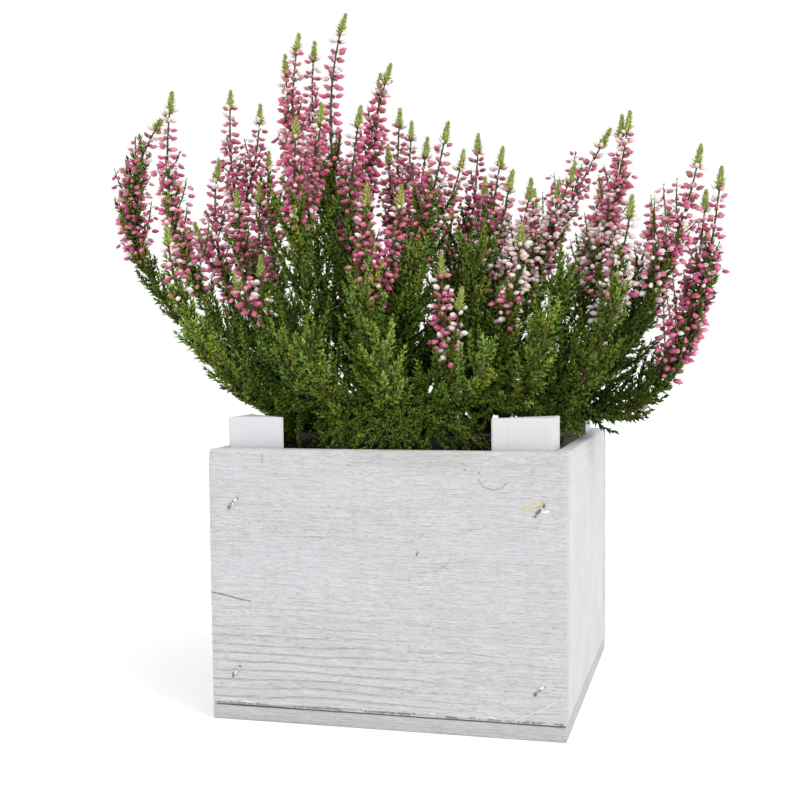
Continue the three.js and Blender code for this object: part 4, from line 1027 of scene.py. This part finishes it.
def add_buds(parts, bases, axes, lengths, radii, tints, draw):
    """Pointed oval buds: darker at the base, with a painted highlight that turns one flank pale."""
    sides = BUD["sides"]
    side = unit(np.cross(axes, np.array([0.0, 0.13, 0.99])))
    up = np.cross(side, axes)
    rings, shades, highlights = [], [], []
    # A painted highlight on one flank of each bud, pale and lighter, at a random turn and strength.
    highlight_turn = draw.uniform(0, 2 * math.pi, len(bases))
    highlight_strength = draw.uniform(0.15, 0.8, len(bases)) ** 1.3
    for height, width in BUD_SHAPE:
        for turn in circle(sides) if width else (0.0,):
            spread = radii[:, None] * width * (math.cos(turn) * side + math.sin(turn) * up)
            rings.append(bases + lengths[:, None] * height * axes + spread)
            highlight = 0.5 + 0.5 * np.cos(turn - highlight_turn) if width else np.full(len(bases), 0.15)
            shades.append(0.66 + 0.42 * height + 0.1 * highlight)
            highlights.append(highlight_strength * highlight**2)
    walls = 1 + ring_walls(2, sides)[:, [[0, 1, 3], [1, 2, 3]]].reshape(-1, 3)
    faces = np.concatenate([fan(1, sides, 0, flip=True), walls, fan(1 + sides, sides, 1 + 2 * sides)])
    shades = np.stack(shades, 1)[..., None]
    colours = np.clip(tint_mix(tints[:, None], BUD_PALE, np.stack(highlights, 1)) * shades, 0, 0.95)
    parts.add_copies(np.stack(rings, 1), faces, colours.reshape(-1, 3))


def bud_colours(places, share, draw, faded):
    """Magenta to rose, cream near the tip, and pale lower down on the right of the plant."""
    count = len(places)
    x, z = places[:, 0] / MM, places[:, 2] / MM
    colours = tint_mix(BUD_MAGENTA, BUD_ROSE, draw.random(count))
    colours = tint_mix(colours, BUD_DUSK, 0.75 * smoothstep(0.45, 0.95, share) * draw.random(count))
    paleness = PALE_ZONE["share"] * smoothstep(*PALE_ZONE["x"], x) * smoothstep(*PALE_ZONE["x_end"], x)
    paleness *= smoothstep(*PALE_ZONE["z"], z)
    paleness = np.maximum(paleness, FADED["pale"] if faded else PALE_ZONE["least"])
    paleness = np.maximum(paleness, PALE_ZONE["tip"] * smoothstep(0.80, 0.98, share))
    pale = draw.random(count) < paleness
    whites = tint_mix(BUD_PALE, BUD_CREAM, draw.random(count))
    return np.where(pale[:, None], whites, colours * draw.uniform(*TINTS["bud"], (count, 1)))


def scale_leaves(parts, curve, start, end, leaf, tint, draw):
    """Scale leaves close round a stem from `start` to `end` along it, smaller and steeper at its tip."""
    ranks, shrink = SCALES["ranks"], SCALES["shrink"]
    along = np.arange(start, end, leaf["pitch"] * MM)
    places, headings = curve.at(along)
    share = (along - start) / (end - start)
    for rank in range(ranks):
        turns = np.arange(len(along)) * math.pi / ranks + rank * 2 * math.pi / ranks
        size = (1 - shrink * share) * draw.uniform(*SIZES["leaf"], len(along))
        tints = np.broadcast_to(tint, (len(along), 3)) * draw.uniform(*TINTS["leaf"], (len(along), 1))
        length, width = leaf["length"] * MM * size, leaf["width"] * MM * size
        lean = leaf["lean"] * (1 - 1.2 * shrink * share)
        add_leaves(parts, places, headings, around(headings, turns), length, width, lean, tints, draw)


def add_flowers(buds, greens, places, headings, turns, size, share, draw, faded=False):
    """One bud at each place, with the little leaf below it, turned about its stem."""
    count = len(places)
    radials = around(headings, turns)
    lift = mix(-BUD_HABIT["droop"], BUD_HABIT["rise"], share**1.5) + draw.normal(0, STRAY["lift"], count)
    axes = radials * [1, 1, 0.6] + np.c_[np.zeros((count, 2)), lift]
    axes = unit(axes + draw.normal(0, STRAY["bud"], radials.shape))
    stalks = BUD["stalk"] * MM * size * (1.25 - 0.5 * share) * draw.uniform(*SIZES["stalk"], count)
    colours = bud_colours(places, share, draw, faded)
    lengths, radii = BUD["length"] * MM * size, BUD["radius"] * MM * size
    add_buds(buds, places + radials * stalks[:, None], axes, lengths, radii, colours, draw)
    spread = around(headings, turns + draw.normal(0, STRAY["bract"], count))
    tints = np.array(BRACT_GREEN) * draw.uniform(*TINTS["bract"], (count, 1))
    lengths, widths = stalks + 1.2 * MM, np.full(count, 0.8 * MM)
    add_leaves(greens, places, headings, spread, lengths, widths, 1.1, tints, draw)


def branchlets(buds, greens, curve, start, bud_end, bushy, draw):
    """Short side branches low on a spike, each with a few buds."""
    low, high = BRANCHLET_PLACES["low"], BRANCHLET_PLACES["high"]
    count = int(bushy * (high - low) * (bud_end - start) / (BRANCHLET["pitch"] * MM))
    share = mix(low, high, (np.arange(count) + draw.random(count)) / max(count, 1))
    places, headings = curve.at(start + share * (bud_end - start))
    lengths = bushy * mix(BRANCHLET["longest"], BRANCHLET["shortest"], share) * MM
    lengths *= draw.uniform(*SIZES["sprig"], count)
    tints = np.broadcast_to(MID_GREEN, (count, 3)) * draw.uniform(*TINTS["shoot"], (count, 1))
    turns = draw.random() + np.arange(count) * GOLDEN_ANGLE
    lengths *= np.clip(1 + BRANCHLET_PLACES["upper"] * around(headings, turns)[:, 2], 0.35, 1.6)
    shoots = sprout(places, headings, turns, lengths, BRANCHLET, tints, draw)
    dress_sprays(greens, shoots, BRANCHLET, draw)
    index, along, order = shoots.spots(BRANCHLET_PLACES["buds"] * MM, 0.15, 0.95, draw)
    places, headings = shoots.at(index, along)
    reach = along / shoots.lengths[index]
    size = (0.95 - 0.3 * reach) * draw.uniform(*SIZES["small_bud"], len(index))
    add_flowers(buds, greens, places, headings, order * GOLDEN_ANGLE + index, size, 0.5 * reach, draw)


def flowering(buds, greens, curve, start, bushy, draw, faded=False):
    """The buds, bracts, axis and green tip of one spike, from `start` along its curve to its end."""
    bud_end = curve.length - (TUFT["length"] - TUFT["overlap"]) * MM
    whorls = max(2, int((bud_end - start) / ((FADED if faded else BUD)["whorl"] * MM)))
    level = np.repeat(np.arange(whorls), BUD["count"])
    count = len(level)
    share = np.clip((level + 0.5 + draw.normal(0, STRAY["whorl"], count)) / whorls, 0, 1)
    places, headings = curve.at(start + (bud_end - start) * share)
    turns = np.arange(count) * 2 * math.pi / BUD["count"] + level * math.pi / 4
    turns = turns + draw.normal(0, STRAY["turn"], count)
    size = (1 - BUD_HABIT["taper"] * share**2) * draw.uniform(*SIZES["bud"], count)
    add_flowers(buds, greens, places, headings, turns, size, share, draw, faded)
    branchlets(buds, greens, curve, start, bud_end, bushy, draw)

    line = np.arange(start, bud_end, BRACT["pitch"] * MM)
    shade = tint_mix(MID_GREEN, BRACT_GREEN, (line - start) / (bud_end - start))
    scale_leaves(greens, curve, start, bud_end, BRACT, shade, draw)
    tuft = (bud_end - TUFT["below"] * MM, curve.length - TUFT["short"] * MM)
    scale_leaves(greens, curve, *tuft, TUFT_LEAF, TIP_GREEN, draw)
    for low, high, radius, tint in (
        (start - 0.5 * MM, bud_end, SPIKE_AXIS, tint_mix(GREEN_STEM, WOOD_STEM, 0.35)),
        (bud_end - 2 * MM, curve.length - MM, TUFT["core"], np.array(TIP_GREEN) * 0.7),
    ):
        line = np.linspace(low, high, max(5, int((high - low) / (6 * MM))))
        points, faces = tube(curve.at(line)[0], np.linspace(radius, 0.5 * radius, len(line)) * MM, 5)
        greens.add(points, faces, tint, 1)


def woody_stem(parts, curve, end, is_trunk):
    foot = STEM["foot" if is_trunk else "side"]
    start = -STEM["depth"] * MM if is_trunk else 0.0
    line = np.linspace(start, end, max(6, int((end - start) / (5 * MM))))
    share = (line - start) / (end - start)
    points, faces = tube(curve.at(line)[0], mix(foot, STEM["top"], share) * MM, STEM["sides"])
    tint = np.repeat(tint_mix(WOOD_STEM, GREEN_STEM, smoothstep(0.35, 1.0, share)), STEM["sides"], 0)
    parts.add(points, faces, np.concatenate([tint, tint[:1], tint[-1:]]), 1)


def side_curve(curve, leaf_end, order, tip):
    """The curve of a lesser spike that forks from the main one."""
    root = curve.at(np.array(leaf_end + (SIDE_SPIKE["first"] + SIDE_SPIKE["step"] * order) * MM))[0]
    end = np.array(tip) * MM
    elbow = mix(root, end, SIDE_SPIKE["elbow_share"])
    elbow[:2] += SIDE_SPIKE["spread"] * (end - root)[:2]
    elbow[2] -= SIDE_SPIKE["elbow_drop"] * MM
    return Curve(root, elbow, end)


def make_heather(materials):
    spike_number = 0
    for order, (name, foot, shoots) in enumerate(BRANCHES):
        draw = np.random.default_rng(100 + order)
        leafy, greens = Parts(), Parts()
        trunk = None
        branch_node, spike_nodes = f"leafy_branch_{name}", []
        for place, (tip, elbow, flowers, more) in enumerate(shoots):
            fork = more.get("fork", FORKS["first"] + FORKS["step"] * place)
            root = trunk.at(np.array(fork * trunk.length))[0] if trunk else np.array([*foot, SOIL_TOP]) * MM
            curve = Curve(root, np.array(elbow) * MM, np.array(tip) * MM)
            leaf_end = curve.length - (flowers + TUFT["length"] if flowers else STEM["tip"]) * MM
            woody_stem(leafy, curve, leaf_end, is_trunk=trunk is None)
            trunk = trunk or curve
            leafy_growth(leafy, curve, leaf_end, flowers, more, draw)
            if not flowers:
                continue
            faded = flowers < SMALL_SPIKE
            if not faded:
                spike_number += 1
                spike_nodes.append(f"flower_spike_{spike_number:02d}")
            buds = Parts()
            bushy = more.get("bushy", FADED["bushy"] if faded else 1)
            flowering(buds, greens, curve, leaf_end, bushy, draw, faded)
            for rank, side_tip in enumerate(more.get("sides", [])):
                flowering(buds, greens, side_curve(curve, leaf_end, rank, side_tip), 0.0, 1, draw)
            node = branch_node if faded else spike_nodes[-1]
            settle(buds.make(f"buds_{name}_{place + 1}", [materials["petal"]]), "petals", node)
        plant = [materials["leaf"], materials["stem"]]
        settle(leafy.make(f"leafy_stems_{name}", plant), "foliage", branch_node)
        settle(greens.make(f"spike_stems_{name}", plant), "foliage", *(spike_nodes or [branch_node]))


# ---------------------------------------------------------------- stage
def make_stage(materials):
    points = np.array([(-1, -1, 0), (1, -1, 0), (1, 1, 0), (-1, 1, 0)]) * FLOOR_REACH
    floor = mesh_object("floor", points, [np.array([(0, 1, 2, 3)])], [materials["floor"]], smooth=False)

    world = bpy.data.worlds.new("studio")
    world.use_nodes = True
    background = world.node_tree.nodes["Background"]
    background.inputs["Color"].default_value = (1.0, 1.0, 1.0, 1)
    background.inputs["Strength"].default_value = 1.0
    bpy.context.scene.world = world
    for name, strength, angle, direction in LIGHTS:
        light = bpy.data.lights.new(name, "SUN")
        light.energy = strength
        light.angle = math.radians(angle)
        lamp = bpy.data.objects.new(name, light)
        lamp.rotation_euler = Vector(direction).to_track_quat("-Z", "Y").to_euler()
        bpy.context.scene.collection.objects.link(lamp)
    bpy.context.scene.view_settings.view_transform = "Standard"


def make_camera():
    yaw, pitch, roll = (math.radians(CAMERA[key]) for key in ("yaw", "pitch", "roll"))
    forward = Vector((math.sin(yaw) * math.cos(pitch), math.cos(yaw) * math.cos(pitch), -math.sin(pitch)))
    right = Vector((math.cos(yaw), -math.sin(yaw), 0))
    down = forward.cross(right)
    across = math.cos(roll) * right + math.sin(roll) * down
    below = math.cos(roll) * down - math.sin(roll) * right
    turned = Matrix((across, -below, -forward)).transposed().to_4x4()
    data = bpy.data.cameras.new("camera")
    data.sensor_width = 36
    data.lens = LENS["length"]
    data.shift_x, data.shift_y = LENS["shift"]
    data.clip_start = 0.02
    camera = bpy.data.objects.new("camera", data)
    camera.matrix_world = Matrix.Translation(CAMERA["place"]) @ turned
    bpy.context.scene.collection.objects.link(camera)
    bpy.context.scene.camera = camera


make_camera()
materials = make_materials()
make_stage(materials)
make_crate(materials)
make_pot(materials)
make_soil(materials)
make_heather(materials)
